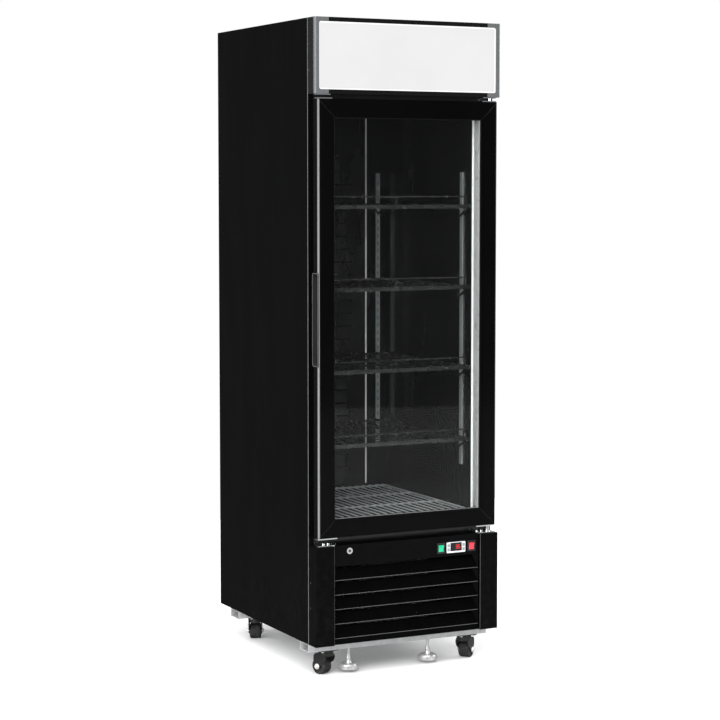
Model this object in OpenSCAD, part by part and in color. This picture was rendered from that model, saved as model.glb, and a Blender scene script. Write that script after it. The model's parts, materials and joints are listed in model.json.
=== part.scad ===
// Upright glass door merchandiser on castors: insulated cabinet with a lit canopy,
// a hinged double glazed door, four wire shelves and a condensing unit in the plinth.
// Millimetres. +Z is up, the door faces -Y, and the origin is on the floor under the
// middle of the cabinet.

/* [Cabinet] */
// Overall width across the side panels
cabinet_w = 630; // [540:1:760]
// Overall depth from the door's face to the back panel
cabinet_d = 735; // [640:1:885]
// Overall height from the floor to the roof
cabinet_h = 1977; // [1900:1:2380]
// Side wall, with its foam, from the outer sheet to the liner
side_wall = 46; // [38:1:56]
// Back wall
back_wall = 50; // [40:1:60]
// Roof
roof_wall = 60; // [50:1:80]
// Floor of the cold room
floor_wall = 54; // [48:1:64]
// Outer steel sheet
sheet_t = 1; // [0.8:0.1:1.2]
// Liner sheet
liner_t = 1.5; // [1:0.1:2]

/* [Front] */
// Height of the plinth that holds the condensing unit
plinth_h = 301; // [280:1:340]
// Height of the control strip at the top of the plinth
strip_h = 62; // [56:1:70]
// Plain strip under the lowest louvre
grille_foot = 18; // [16:1:26]
// Louvres in the plinth grille
louvre_count = 5; // [4:1:6]
// Width of a corner post
post_w = 62; // [54:1:70]
// Step back from the posts to the grille and the control strip
panel_recess = 10; // [8:1:12]
// Height of the canopy
canopy_h = 224; // [180:1:260]
// Border of the canopy around the sign at the top and bottom
canopy_border = 13; // [11:1:16]
// Border of the canopy at its ends
canopy_end = 14; // [12:1:18]
// Length of an end cap's arms
cap_arm = 45; // [36:1:54]

/* [Door] */
// Gap under the door
door_gap_low = 25; // [22:1:30]
// Gap over the door
door_gap_top = 14; // [13:1:18]
// Door edge, inside the cabinet's side
door_inset = 10; // [8:1:14]
// Thickness of the door
door_t = 45; // [40:1:56]
// Space between the door and the cabinet that the seal fills
seal_space = 7; // [6:0.5:9]
// Face width of the door frame
frame_w = 54; // [50:1:62]
// Radius of the frame's outer front edge
frame_round = 7; // [4:1:8]
// Glass sheet
glass_t = 4; // [3:0.5:5]
// Space between the two sheets of glass
glass_space = 10; // [8:1:12]
// Length of the finger grip
grip_l = 278; // [200:1:320]
// Height of the grip's middle over the door's lower edge
grip_up = 655; // [500:1:760]
// Depth of the grip's recess into the stile
grip_in = 25; // [20:1:28]
// Radius of a hinge pin
hinge_pin_r = 4; // [3:0.1:5]
// Running clearance around pins and shafts
run_gap = 0.05; // [0.02:0.01:0.08]

/* [Shelves] */
// Height of the lowest shelf over the underside of the cold room's floor
shelf_first = 294; // [270:1:320]
// Spacing of the slots in the shelf standards
slot_pitch = 25; // [20:1:26]
// Slots between the first and the second shelf
low_slots = 9; // [8:1:10]
// Slots between the shelves above
shelf_slots = 10; // [9:1:10]
// Radius of a deck wire
wire_r = 1.75; // [1.4:0.05:2]
// Radius of a shelf's frame rod
rod_r = 3; // [2.5:0.1:3.5]
// Deck wires in a shelf
wire_count = 21; // [15:1:27]
// Height of the guard rail over a shelf
guard_up = 27; // [20:1:40]

/* [Running gear] */
// Radius of a castor wheel
wheel_r = 25; // [22:1:32]
// Height of a castor's bearing
bearing_h = 11.7; // [9:0.1:14]
// Width of a castor wheel
wheel_w = 36; // [30:1:37]
// Height of a base rail
rail_h = 26; // [22:1:36]
// Width of a base rail
rail_w = 62; // [56:1:70]
// Radius of a levelling foot's pad
foot_r = 30; // [25:1:36]
// Gap from a levelling foot to the floor
foot_up = 11; // [9:1:13]

/* [Controls] */
// Radius of the lock's bezel
lock_r = 9.5; // [9:0.5:11]
// Width of the controller's bezel
controller_w = 65; // [58:1:78]
// Height of the controller's bezel
controller_h = 33; // [31:1:36]
// Width of a rocker switch's bezel
switch_w = 28; // [27:1:31]
// Height of a rocker switch's bezel
switch_h = 33; // [32:1:36]
// Travel of a controller button
button_travel = 0.8; // [0.5:0.1:1]

/* [Cold and warm side] */
// Radius of the condenser fan
condenser_fan_r = 104; // [80:1:112]
// Radius of the evaporator fan
evaporator_fan_r = 72; // [60:1:76]
// Radius of the compressor's shell
compressor_r = 80; // [60:1:90]
// Strip of the back wall on each side of the air duct
duct_margin = 74.5; // [62:0.5:90]

/* [Hidden] */
$fn = 48;
gap = 0.3;
skin_gap = 0.5;
side_x = cabinet_w / 2;
front_y = -cabinet_d / 2;
back_y = cabinet_d / 2;
front_depth = door_t + seal_space;
plate_t = 3;
crown_z = wheel_r * 2 + 8;
crown_t = 6;
castor_h = crown_z + crown_t + gap + bearing_h + plate_t;
body_y = front_y + front_depth;
base_z = castor_h + rail_h;
deck_z = base_z + plinth_h;
floor_z = deck_z + floor_wall;
canopy_z = cabinet_h - canopy_h;
door_z = deck_z + door_gap_low;
door_top = canopy_z - door_gap_top;
header_z = door_top - 34;
ceiling_z = cabinet_h - roof_wall;
cold_x = side_x - side_wall;
cold_back = back_y - back_wall;
wall_x = cold_x - liner_t;
wall_back = cold_back - liner_t;
room_floor = floor_z + liner_t;
header_d = 46;
trim_x = side_x - 1;
front_return = 20;
back_return = 18;

// Plinth
panel_x = trim_x - post_w - skin_gap;
strip_z = deck_z - strip_h;
strip_y = front_y + panel_recess;
strip_t = 2;
louvre_pitch = (strip_z - base_z - grille_foot) / louvre_count;
controls_z = deck_z - 36;
lock_x = -panel_x + 54.5;
lock_z = deck_z - 18;
lock_body_r = lock_r - 2;
lock_core_r = lock_r - 5;
control_step = (controller_w + switch_w) / 2;
red_x = panel_x - 27.5;
controller_x = red_x - control_step - 8.5;
green_x = controller_x - control_step - 5.5;
switch_body_w = switch_w - 2.5;
switch_body_h = switch_h - 4;
rocker_w = 17.6;
rocker_h = 21;
rocker_tilt = 9;
window_w = controller_w - 25;
window_h = controller_h - 7;
button_w = 8;
button_h = 8.5;
bezel_t = 3;
column_x = (controller_w + window_w) / 4;

// Door
door_x = side_x - door_inset;
door_back = front_y + door_t;
glass_edge = frame_w - 7;
glass_y = front_y + 7.2;
glass_x = door_x - glass_edge;
glass_low = door_z + glass_edge;
glass_top = door_top - glass_edge;
hinge_x = door_x - 16;
hinge_y = front_y + 23;
gasket_in = 18;
gasket_end = 12;
gasket_w = 14;
plate_l = 65;
grip_mid = door_z + grip_up;
grip_y0 = front_y + 1.5;
grip_y1 = door_back - 5;

// Shelves
shelf_z = [for (i = [0:3]) deck_z + shelf_first
    + (i == 0 ? 0 : low_slots + (i - 1) * shelf_slots) * slot_pitch];
shelf_front = body_y + 31;
duct_x = wall_x - duct_margin;
duct_y = wall_back - 12;
shelf_back = duct_y - 6;
standard_t = 5;
standard_w = 14;
standard_y = body_y + 100;
standard_x = wall_x - 27.5;
standard_low = shelf_z[0] - 94;
standard_high = shelf_z[3] + 100;
clip_t = 4;
clip_drop = 30;
clip_x = wall_x - standard_t - gap;
shelf_x = clip_x - gap - rod_r;
deck_drop = 2 * wire_r + 2 * rod_r - 0.6;
hook_z = shelf_z[0] - deck_drop - gap - clip_drop + 4;

// Running gear
rail_front_y = body_y + 2;
rail_back_y = back_y - 147;
rail_end = trim_x - 11;
castor_x = side_x - 74;
castor_front_y = rail_front_y + rail_w / 2 - 2;
castor_back_y = rail_back_y + rail_w / 2;
castor_turn = [23, -52, -27, 38];
castor_at = [[-castor_x, castor_front_y], [castor_x, castor_front_y],
             [-castor_x, castor_back_y], [castor_x, castor_back_y]];
trail = 17;
fork_in = wheel_w / 2 + 1.2;
fork_t = 2.6;
crown_end = 27;
axle_r = 3;
king_r = 5;
foot_y = castor_front_y;
foot_step = trail + wheel_r + foot_r + 4;
foot_at = [-castor_x + foot_step, castor_x - foot_step - 55];
stem_r = 5;

// Condensing unit and evaporator
fan_hub_r = 22;
shaft_r = 4;
condenser_y = body_y + 14;
condenser_t = 62;
condenser_x = -20;
fan_y = condenser_y + condenser_t + 34;
fan_z = base_z + 14 + condenser_fan_r + 12;
housing_y = wall_back - 165;
housing_z = header_z + 14;
housing_top = ceiling_z - liner_t - 2;
ev_fan_z = (housing_z + housing_top) / 2;
ev_fan_y = housing_y + 26;

// A box given by its lowest and highest corners.
module span(low, high) {
    translate(low) cube(high - low);
}

// The same shape on the left and the right.
module both_sides() {
    children();
    mirror([1, 0, 0]) children();
}

// A cylinder along Y from y0 to y1.
module rod_y(r, y0, y1) {
    translate([0, y1, 0]) rotate([90, 0, 0]) cylinder(r = r, h = y1 - y0);
}

// A cylinder along X, centred.
module rod_x(r, l) {
    rotate([0, 90, 0]) cylinder(r = r, h = l, center = true);
}

// A flat rectangle with round corners, centred.
module round_rect(w, h, r) {
    square([w - 2 * r, h], center = true);
    square([w, h - 2 * r], center = true);
    for (x = [-1, 1], y = [-1, 1])
        translate([x * (w / 2 - r), y * (h / 2 - r)]) circle(r = r);
}

// A plate in the XZ plane with round corners, centred in X and Z, from y0 to y1.
module round_plate(w, h, r, y0, y1) {
    translate([0, y1, 0]) rotate([90, 0, 0]) linear_extrude(y1 - y0) round_rect(w, h, r);
}

// ---------------------------------------------------------------- cabinet

// One steel sheet each side, folded over at the front and the back.
module side_panels() {
    top_z = cabinet_h - sheet_t;
    color("#181818") both_sides() {
        span([side_x - sheet_t, body_y, base_z], [side_x, back_y, top_z]);
        span([side_x - front_return, body_y, base_z], [side_x, body_y + sheet_t, top_z]);
        span([side_x - back_return, back_y - sheet_t, base_z], [side_x, back_y, top_z]);
    }
}

module back_panel() {
    x = side_x - back_return - skin_gap;
    color("#202020")
        span([-x, back_y - sheet_t, deck_z], [x, back_y, cabinet_h - sheet_t]);
}

module roof_panel() {
    color("#181818")
        span([-side_x, body_y, cabinet_h - sheet_t], [side_x, back_y, cabinet_h]);
}

// Slotted cover behind the condensing unit, with the cable's hole.
module rear_grille() {
    x = side_x - back_return - skin_gap;
    slot_w = 62;
    slot_h = 7;
    columns = 5;
    rows = 8;
    column_step = 2 * x / (columns + 1);
    row_step = (plinth_h - 80) / (rows - 1);
    color("#202020") difference() {
        span([-x, back_y - sheet_t, base_z + skin_gap], [x, back_y, deck_z - skin_gap]);
        for (i = [1:columns], j = [0:rows - 1])
            if (!(i == 1 && j < 2))
                translate([-x + i * column_step, 0, base_z + 40 + j * row_step])
                    round_plate(slot_w, slot_h, 3, back_y - 5, back_y + 5);
        translate([-x + column_step, 0, base_z + 48]) rod_y(10.2, back_y - 5, back_y + 5);
    }
}

module base_tray() {
    x = side_x - sheet_t - skin_gap;
    lip = 12;
    color("#a8abad") {
        span([-x, body_y + sheet_t + skin_gap, base_z], [x, back_y - sheet_t - skin_gap, base_z + 2]);
        both_sides() span([x - 2, body_y + 8, base_z], [x, back_y - 8, base_z + lip]);
    }
}

// Two rectangular tubes across the cabinet. The front one takes the levelling feet.
module base_rails() {
    wall = 2.5;
    color("#b4b7b9") difference() {
        for (y = [rail_front_y, rail_back_y]) difference() {
            span([-trim_x, y, castor_h], [rail_end, y + rail_w, base_z]);
            span([-trim_x - 1, y + wall, castor_h + wall],
                 [rail_end + 1, y + rail_w - wall, base_z - wall]);
        }
        for (x = foot_at)
            translate([x, foot_y, castor_h - 1]) cylinder(r = stem_r + run_gap, h = wall + 2);
    }
}

// Foam behind every wall of the cold room: sides, back, floor, roof and the head over the door.
module foam_core() {
    seam = 0.4;
    y0 = body_y + liner_t;
    y1 = back_y - sheet_t;
    x = cold_x - seam;
    top_z = cabinet_h - sheet_t;
    color("#e6d9a8") {
        both_sides() span([cold_x, y0, deck_z], [side_x - sheet_t, y1, top_z]);
        span([-x, cold_back, deck_z], [x, y1, top_z]);
        span([-x, y0, deck_z], [x, cold_back - seam, floor_z]);
        span([-x, y0, ceiling_z], [x, cold_back - seam, top_z]);
        span([-x, y0, header_z], [x, body_y + header_d, ceiling_z - seam]);
    }
}

// Lining of the cold room in one piece with the flange that the door's seal meets.
module liner() {
    flange_x = side_x - front_return - 1;
    color("#101012") difference() {
        union() {
            span([-cold_x, body_y, floor_z], [cold_x, cold_back, ceiling_z]);
            span([-flange_x, body_y, deck_z], [flange_x, body_y + liner_t, cabinet_h - sheet_t]);
        }
        span([-wall_x, body_y - 1, room_floor], [wall_x, wall_back, header_z - liner_t]);
        span([-wall_x, body_y + header_d + liner_t, header_z - 2 * liner_t],
             [wall_x, wall_back, ceiling_z - liner_t]);
        span([-cold_x - 1, body_y + liner_t, header_z], [cold_x + 1, body_y + header_d, ceiling_z + 1]);
    }
}

// ---------------------------------------------------------------- plinth

module post_outline(inset) {
    r = 3;
    w = post_w - 2 * inset;
    d = front_depth - gap - 2 * inset;
    difference() {
        square([w, d]);
        translate([w - r, 0]) square(r);
    }
    translate([w - r, r]) circle(r = r);
}

module corner_posts() {
    wall = 2;
    color("#151515") both_sides() difference() {
        translate([trim_x - post_w, front_y, base_z]) linear_extrude(plinth_h) post_outline(0);
        translate([trim_x - post_w + wall, front_y + wall, base_z - 1])
            linear_extrude(plinth_h + 1 - wall) post_outline(wall);
        translate([trim_x, front_y + 36, base_z + 113]) rod_x(2, 20);
        translate([trim_x, front_y + 36, base_z + 190]) rod_x(2, 20);
    }
}

// One louvre: a pocket that is deep at its top and runs forward to its lower lip,
// with ends that slope in, and an air slot in its back.
module louvre_pocket(low, high, half_w) {
    depth = 15;
    lip = 1.6;
    y = strip_y;
    intersection() {
        translate([-half_w, 0, 0]) rotate([90, 0, 90]) linear_extrude(2 * half_w)
            polygon([[y - 1, low + lip - 1], [y, low + lip], [y + depth, high - lip], [y - 1, high - lip]]);
        translate([0, 0, low]) linear_extrude(high - low)
            polygon([[-half_w - 1, y - 1], [half_w + 1, y - 1],
                     [half_w - depth, y + depth], [-half_w + depth, y + depth]]);
    }
    span([-half_w + depth + 4, y + depth - 5, high - lip - 7], [half_w - depth - 4, y + 30, high - lip - 0.8]);
}

module louvre_panel() {
    depth = 18;
    wall = 2.4;
    top = strip_z - gap;
    margin = 3;
    color("#0e0e0e") difference() {
        span([-panel_x, strip_y, base_z], [panel_x, strip_y + depth, top]);
        for (i = [0:louvre_count - 1]) {
            low = base_z + grille_foot + i * louvre_pitch;
            high = min(low + louvre_pitch, top);
            louvre_pocket(low, high, panel_x - margin);
            translate([-panel_x + 24, 0, 0]) rotate([90, 0, 90]) linear_extrude(2 * panel_x - 48)
                polygon([[strip_y + wall + 1, low + 1], [strip_y + depth + 1, low + 1],
                         [strip_y + depth + 1, high - 9]]);
        }
        span([-panel_x + 24, strip_y + wall, base_z + 3],
             [panel_x - 24, strip_y + depth + 1, base_z + grille_foot - 2]);
    }
}

// Folded strip that carries the lock, the switches and the controller.
module control_strip() {
    color("#101010") difference() {
        union() {
            span([-panel_x, strip_y, strip_z], [panel_x, strip_y + strip_t, deck_z]);
            span([-panel_x, strip_y, deck_z - strip_t], [panel_x, body_y - skin_gap, deck_z]);
        }
        translate([lock_x, 0, lock_z]) rod_y(lock_body_r + 0.1, strip_y - 1, strip_y + 5);
        span([lock_x - 21, strip_y - 1, lock_z - 2], [lock_x - 19.4, strip_y + 5, lock_z + 6]);
        for (x = [green_x, red_x])
            translate([x, 0, controls_z])
                span([-switch_body_w / 2 - 0.2, strip_y - 1, -switch_body_h / 2 - 0.2],
                     [switch_body_w / 2 + 0.2, strip_y + 5, switch_body_h / 2 + 0.2]);
        translate([controller_x, 0, controls_z])
            span([-controller_w / 2 + 1.8, strip_y - 1, -controller_h / 2 + 1.8],
                 [controller_w / 2 - 1.8, strip_y + 5, controller_h / 2 - 1.8]);
    }
}

module lock_case() {
    color("#c9ccce") translate([lock_x, 0, lock_z]) difference() {
        union() {
            rod_y(lock_r, strip_y - 2.5, strip_y);
            rod_y(lock_body_r, strip_y, strip_y + 20);
            rotate([0, 15, 0]) translate([0, strip_y + 7, 0]) rotate([90, 0, 0])
                cylinder(r = lock_r + 1.5, h = 4.5, $fn = 6);
        }
        rod_y(lock_core_r + run_gap, strip_y - 5, strip_y + 25);
    }
}

// Key barrel with a flat cam that hangs down at rest.
module lock_barrel() {
    cam_t = 3;
    cam_l = 26;
    color("#d8dadc") translate([lock_x, 0, lock_z]) difference() {
        union() {
            rod_y(lock_core_r, strip_y - 3.2, strip_y + 20.6);
            rod_y(lock_core_r + 1.5, strip_y + 20.6, strip_y + 20.6 + cam_t);
            translate([-6, strip_y + 20.6, -cam_l]) cube([12, cam_t, cam_l]);
        }
        translate([-0.9, strip_y - 4, -4.2]) cube([1.8, 6, 8.4]);
        rod_y(2.2, strip_y - 4, strip_y - 1.2);
    }
}

module switch_bezels() {
    back_t = 2;
    body_d = 15;
    hole_w = rocker_w + 0.8;
    hole_h = rocker_h + 2;
    color("#26282a") for (x = [green_x, red_x]) translate([x, 0, controls_z]) difference() {
        union() {
            round_plate(switch_w, switch_h, 1.5, strip_y - 2, strip_y);
            span([-switch_body_w / 2, strip_y, -switch_body_h / 2],
                 [switch_body_w / 2, strip_y + body_d, switch_body_h / 2]);
        }
        span([-hole_w / 2, strip_y - 5, -hole_h / 2], [hole_w / 2, strip_y + body_d - back_t, hole_h / 2]);
        translate([0, strip_y + 2, 0]) rod_x(1.5 + run_gap, 40);
    }
}

// Rocker with a hollow face, a round back and stub pivots, tilted to one side at rest.
module rocker(x) {
    half = rocker_h / 2 - 0.2;
    translate([x, strip_y + 2, controls_z]) rotate([rocker_tilt, 0, 0]) {
        translate([-rocker_w / 2, 0, 0]) rotate([90, 0, 90]) linear_extrude(rocker_w)
            polygon([[-5, half], [-3.4, 0], [-5, -half], [1, -half], [5.5, -5], [5.5, 5], [1, half]]);
        rod_x(1.5, switch_body_w - 0.4);
    }
}

module green_rocker() {
    color("#13a06a") rocker(green_x);
}

module red_rocker() {
    color("#d8323c") rocker(red_x);
}

// Middle of button i: 0 and 1 on the left, 2 and 3 on the right, the upper one first.
function button_at(i) =
    [controller_x + (i < 2 ? -1 : 1) * column_x, controls_z + (i % 2 == 0 ? 1 : -1) * 6.4];

module controller_case() {
    body_d = 48;
    fit = 0.3;
    color("#c2c6c8") difference() {
        union() {
            translate([controller_x, 0, controls_z]) {
                round_plate(controller_w, controller_h, 2.5, strip_y - bezel_t, strip_y);
                span([-controller_w / 2 + 2, strip_y, -controller_h / 2 + 2],
                     [controller_w / 2 - 2, strip_y + body_d, controller_h / 2 - 2]);
            }
        }
        translate([controller_x, 0, controls_z + 1.5])
            round_plate(window_w + 2 * 0.05, window_h + 2 * 0.05, 1, strip_y - 5, strip_y - 1);
        for (i = [0:3]) translate([button_at(i)[0], 0, button_at(i)[1]])
            round_plate(button_w + 2 * fit, button_h + 2 * fit, 1, strip_y - 5, strip_y + 2);
    }
}

module display_window() {
    color("#0a0a0c") translate([controller_x, 0, controls_z + 1.5])
        round_plate(window_w, window_h, 1, strip_y - bezel_t + 0.4, strip_y - 1);
}

module button(i) {
    color("#d9dcdd") translate([button_at(i)[0], 0, button_at(i)[1]])
        round_plate(button_w, button_h, 1, strip_y - bezel_t - 1, strip_y + 2 - button_travel - 0.3);
}

// ---------------------------------------------------------------- canopy

// Slot around the inside of the canopy's border that holds the sign.
module sign_slot(extra) {
    x = trim_x - canopy_end + 6 + extra;
    low = canopy_z + canopy_border - 6 - extra;
    high = cabinet_h - canopy_border + 6 + extra;
    span([-x, front_y + 5 - extra, low], [x, front_y + 8 + extra, high]);
}

// Folded steel box with a grooved bar along the top and the bottom of its face.
module canopy_box() {
    wall = 1.5;
    cap_d = 12;
    bar_x = trim_x - cap_arm - 0.1;
    y1 = body_y - gap;
    color("#0c0c0c") difference() {
        union() {
            difference() {
                span([-trim_x, front_y + cap_d, canopy_z], [trim_x, y1, cabinet_h]);
                span([-trim_x + wall, front_y + cap_d - 1, canopy_z + wall],
                     [trim_x - wall, y1 - wall, cabinet_h - wall]);
            }
            span([-bar_x, front_y, canopy_z], [bar_x, front_y + cap_d, canopy_z + canopy_border]);
            span([-bar_x, front_y, cabinet_h - canopy_border], [bar_x, front_y + cap_d, cabinet_h]);
        }
        sign_slot(0.1);
        for (z = [canopy_z + 5, cabinet_h - 8]) span([-side_x, front_y - 1, z], [side_x, front_y + 1.2, z + 3]);
        for (s = [-1, 1], z = screw_canopy) translate([s * trim_x, front_y + 41, z]) rod_x(2, 20);
    }
}

// C-shaped end caps with round inner corners and a sloped outer edge.
module canopy_end_caps() {
    cap_d = 12;
    slope = 4;
    r = 6;
    high = canopy_h - 2 * canopy_border;
    color("#4a4c4e") both_sides() difference() {
        translate([0, 0, canopy_z]) linear_extrude(canopy_h)
            polygon([[trim_x - cap_arm, front_y], [trim_x - slope, front_y], [trim_x, front_y + slope],
                     [trim_x, front_y + cap_d - 0.1], [trim_x - cap_arm, front_y + cap_d - 0.1]]);
        translate([trim_x - canopy_end - 100, 0, canopy_z + canopy_h / 2])
            round_plate(200, high, r, front_y - 1, front_y + cap_d + 1);
        sign_slot(0.1);
    }
}

module canopy_sign() {
    color("#f0f0ee") sign_slot(0);
}

module canopy_led_bars() {
    x = trim_x - 40;
    color("#f6f4e8") for (z = [canopy_z + 22, cabinet_h - 30])
        span([-x, front_y + 30, z], [x, front_y + 38, z + 10]);
}

// ---------------------------------------------------------------- fasteners

screw_canopy = [canopy_z + 69, canopy_z + 146];

// Pan head screws on the sides of the canopy and the corner posts.
module case_screws() {
    color("#c8cacc") for (s = [-1, 1]) {
        for (z = screw_canopy) translate([s * trim_x, front_y + 41, z]) rotate([0, s * 90, 0]) pan_screw();
        for (z = [113, 190])
            translate([s * trim_x, front_y + 36, base_z + z]) rotate([0, s * 90, 0]) pan_screw();
    }
}

module pan_screw() {
    difference() {
        union() {
            cylinder(r = 3.2, h = side_x - trim_x);
            translate([0, 0, -8]) cylinder(r = 2 - run_gap, h = 8.5);
        }
        for (a = [0, 90]) rotate([0, 0, a]) translate([-2, -0.35, 0.5]) cube([4, 0.7, 2]);
    }
}

// ---------------------------------------------------------------- cold room

// Lamp profiles with a ribbed cover in the front corners of the side walls.
module led_profiles() {
    w = 25;
    t = 7;
    ribs = 5;
    rib = (w - 3) / ribs;
    color("#9ea0a2") both_sides()
        translate([wall_x, body_y + 3, room_floor + 1])
            linear_extrude(header_z - liner_t - room_floor - 2) difference() {
                translate([-t, 0]) square([t, w]);
                for (i = [0:ribs - 1]) translate([-t, 1.5 + (i + 0.5) * rib]) circle(r = rib * 0.3, $fn = 16);
            }
}

// A slotted strip along Z whose face looks along -Y, with its back at y = 0.
module standard() {
    l = standard_high - standard_low;
    wall = 1.5;
    slot_h = 12;
    first = ceil((standard_low + slot_h - hook_z) / slot_pitch);
    last = floor((standard_high - slot_h - hook_z) / slot_pitch);
    difference() {
        span([-standard_w / 2, -standard_t, 0], [standard_w / 2, 0, l]);
        span([-standard_w / 2 + wall, -standard_t + wall, -1], [standard_w / 2 - wall, 1, l + 1]);
        for (k = [first:last])
            translate([-1.6, -standard_t - 1, hook_z - standard_low + k * slot_pitch - slot_h / 2])
                cube([3.2, 4, slot_h]);
    }
}

module shelf_standards() {
    color("#b0b2b4") both_sides() {
        translate([wall_x, standard_y, standard_low]) rotate([0, 0, -90]) standard();
        translate([standard_x, wall_back, standard_low]) standard();
    }
}

// A V bracket with a hook at its foot. Its plate lies at y = 0 to -clip_t,
// and its arms end at z = 0.
module clip(half_w) {
    arm = 5;
    hook_d = 3;
    rotate([90, 0, 0]) linear_extrude(clip_t)
        polygon([[0, -clip_drop], [half_w, -arm], [half_w, 0], [half_w - arm, 0],
                 [0, -clip_drop + arm + 2], [-half_w + arm, 0], [-half_w, 0], [-half_w, -arm]]);
    translate([-1.2, -clip_t, -clip_drop + 1]) cube([2.4, clip_t + hook_d, 6]);
}

module shelf_clips() {
    side_half = 48;
    back_half = 21;
    color("#141414") for (z = shelf_z) both_sides() {
        translate([clip_x, standard_y, z - deck_drop - gap]) rotate([0, 0, -90]) clip(side_half);
        translate([standard_x, wall_back - standard_t - gap, z - deck_drop - gap]) clip(back_half);
    }
}

// A wire deck whose top is at z = 0: deck wires front to back, cross rods and a frame rod.
module wire_deck(lip_h) {
    frame_z = -2 * wire_r + 0.6 - rod_r;
    y0 = shelf_front + rod_r;
    y1 = shelf_back - rod_r;
    x = shelf_x;
    step = 2 * (x - 9) / (wire_count - 1);
    cross_r = 2.5;
    for (i = [0:wire_count - 1])
        translate([-x + 9 + i * step, 0, -wire_r]) rod_y(wire_r, y0 - 1, y1 + 1);
    for (y = [y0, y1]) translate([0, y, frame_z]) rod_x(rod_r, 2 * x);
    for (s = [-1, 1]) translate([s * x, 0, frame_z]) rod_y(rod_r, y0, y1);
    for (s = [-1, 1], y = [y0, y1]) translate([s * x, y, frame_z]) sphere(r = rod_r);
    for (k = [1:2]) translate([0, y0 + k * (y1 - y0) / 3, -2 * wire_r + 0.6 - cross_r])
        rod_x(cross_r, 2 * x);
    if (lip_h > 0)
        span([-x, shelf_front - 2.5, frame_z - lip_h + 8], [x, shelf_front + 0.6, frame_z + 6]);
}

// Guard rail that stands on the front of a shelf.
module guard_rail() {
    r = 2;
    x = shelf_x - 16;
    y = shelf_front + rod_r;
    foot = gap;
    translate([0, y, guard_up - r]) rod_x(r, 2 * x);
    for (s = [-1, 1]) {
        translate([s * x, y, guard_up - r]) sphere(r = r);
        translate([s * x, y, foot]) cylinder(r = r, h = guard_up - r - foot);
    }
    translate([0, y, foot]) cylinder(r = r, h = guard_up - r - foot);
}

module shelf(i) {
    color("#161616") translate([0, 0, shelf_z[i]]) {
        wire_deck(14);
        guard_rail();
    }
}

// Rack on the floor of the cold room, on four feet.
module floor_rack() {
    top = room_floor + 15;
    foot_h = top - deck_drop + 0.5 - room_floor - gap;
    color("#8e9092") {
        translate([0, 0, top]) wire_deck(0);
        for (s = [-1, 1], y = [shelf_front + 40, shelf_back - 40])
            translate([s * shelf_x, y, room_floor + gap]) cylinder(r = 5, h = foot_h);
    }
}

// Folded duct up the back wall, and the housing over it that holds the evaporator.
module duct_panel() {
    t = 1.2;
    x = duct_x;
    low = room_floor + 20;
    slot_rows = 26;
    row_step = (housing_z - low - 120) / slot_rows;
    color("#131315") {
        difference() {
            span([-x, duct_y, low], [x, wall_back, housing_z - 0.4]);
            span([-x + t, duct_y + t, low - 1], [x - t, wall_back + 1, housing_z + 1]);
            for (j = [0:slot_rows], s = [-1, 1])
                translate([s * x * 0.55, 0, low + 60 + j * row_step])
                    round_plate(70, 5, 2.4, duct_y - 1, duct_y + t + 1);
        }
        difference() {
            span([-x, housing_y, housing_z], [x, wall_back, housing_top]);
            span([-x + t, housing_y + t, housing_z + t], [x - t, wall_back + 1, housing_top - t]);
            translate([0, 0, ev_fan_z]) rod_y(evaporator_fan_r + 4, housing_y - 1, housing_y + t + 1);
            span([-x + 20, duct_y + t, housing_z - 1], [x - 20, wall_back - 1, housing_z + t + 1]);
        }
    }
}

// Finned block with its end plates and return bends, and the fan's motor on a bracket.
module evaporator_coil() {
    x = duct_x - 24;
    y0 = housing_y + 78;
    y1 = wall_back - 16;
    z0 = housing_z + 12;
    z1 = housing_top - 12;
    motor_y = ev_fan_y + 12;
    color("#b9bcbe") {
        span([-x, y0, z0], [x, y1, z1]);
        both_sides() {
            span([x + 0.5, y0 - 2, z0 - 4], [x + 2, y1 + 2, z1 + 4]);
            for (z = [z0 + 18:30:z1 - 18]) translate([x + 2, (y0 + y1) / 2, z]) rotate([0, 90, 0])
                rotate_extrude() translate([12, 0]) circle(r = 4);
        }
        translate([0, 0, ev_fan_z]) {
            rod_y(20, motor_y, motor_y + 30);
            rod_y(shaft_r, ev_fan_y - 6, motor_y);
        }
        span([-60, motor_y + 30, ev_fan_z - 6], [60, y0, ev_fan_z + 6]);
    }
}

// A fan about the Y axis with its blades trimmed to a radius.
module fan(r, blades, depth) {
    pitch = 28;
    difference() {
        union() {
            rod_y(fan_hub_r, -depth / 2, depth / 2);
            intersection() {
                rod_y(r, -depth, depth);
                for (i = [0:blades - 1]) rotate([0, i * 360 / blades, 0])
                    translate([fan_hub_r - 3, 0, 0]) rotate([pitch, 0, 0])
                        translate([0, -0.9, -r * 0.28]) cube([r, 1.8, r * 0.56]);
            }
        }
        rod_y(shaft_r + run_gap, -depth, depth);
    }
}

module evaporator_fan() {
    color("#1a1a1c") translate([0, ev_fan_y, ev_fan_z]) fan(evaporator_fan_r, 5, 16);
}

// ---------------------------------------------------------------- condensing unit

module compressor() {
    r = compressor_r;
    h = 190;
    edge = 30;
    color("#17181a") translate([side_x - r - 135, back_y - r - 110, base_z + 2]) {
        translate([0, 0, 16]) rotate_extrude() {
            square([r - edge, h]);
            translate([0, edge]) square([r, h - 2 * edge]);
            for (z = [edge, h - edge]) intersection() {
                translate([r - edge, z]) circle(r = edge);
                square([r, h]);
            }
        }
        for (a = [45:90:315]) rotate([0, 0, a]) {
            translate([r - 22, -14, 10]) cube([44, 28, 4]);
            translate([r + 8, 0, 0]) cylinder(r = 9, h = 10);
        }
    }
}

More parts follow.
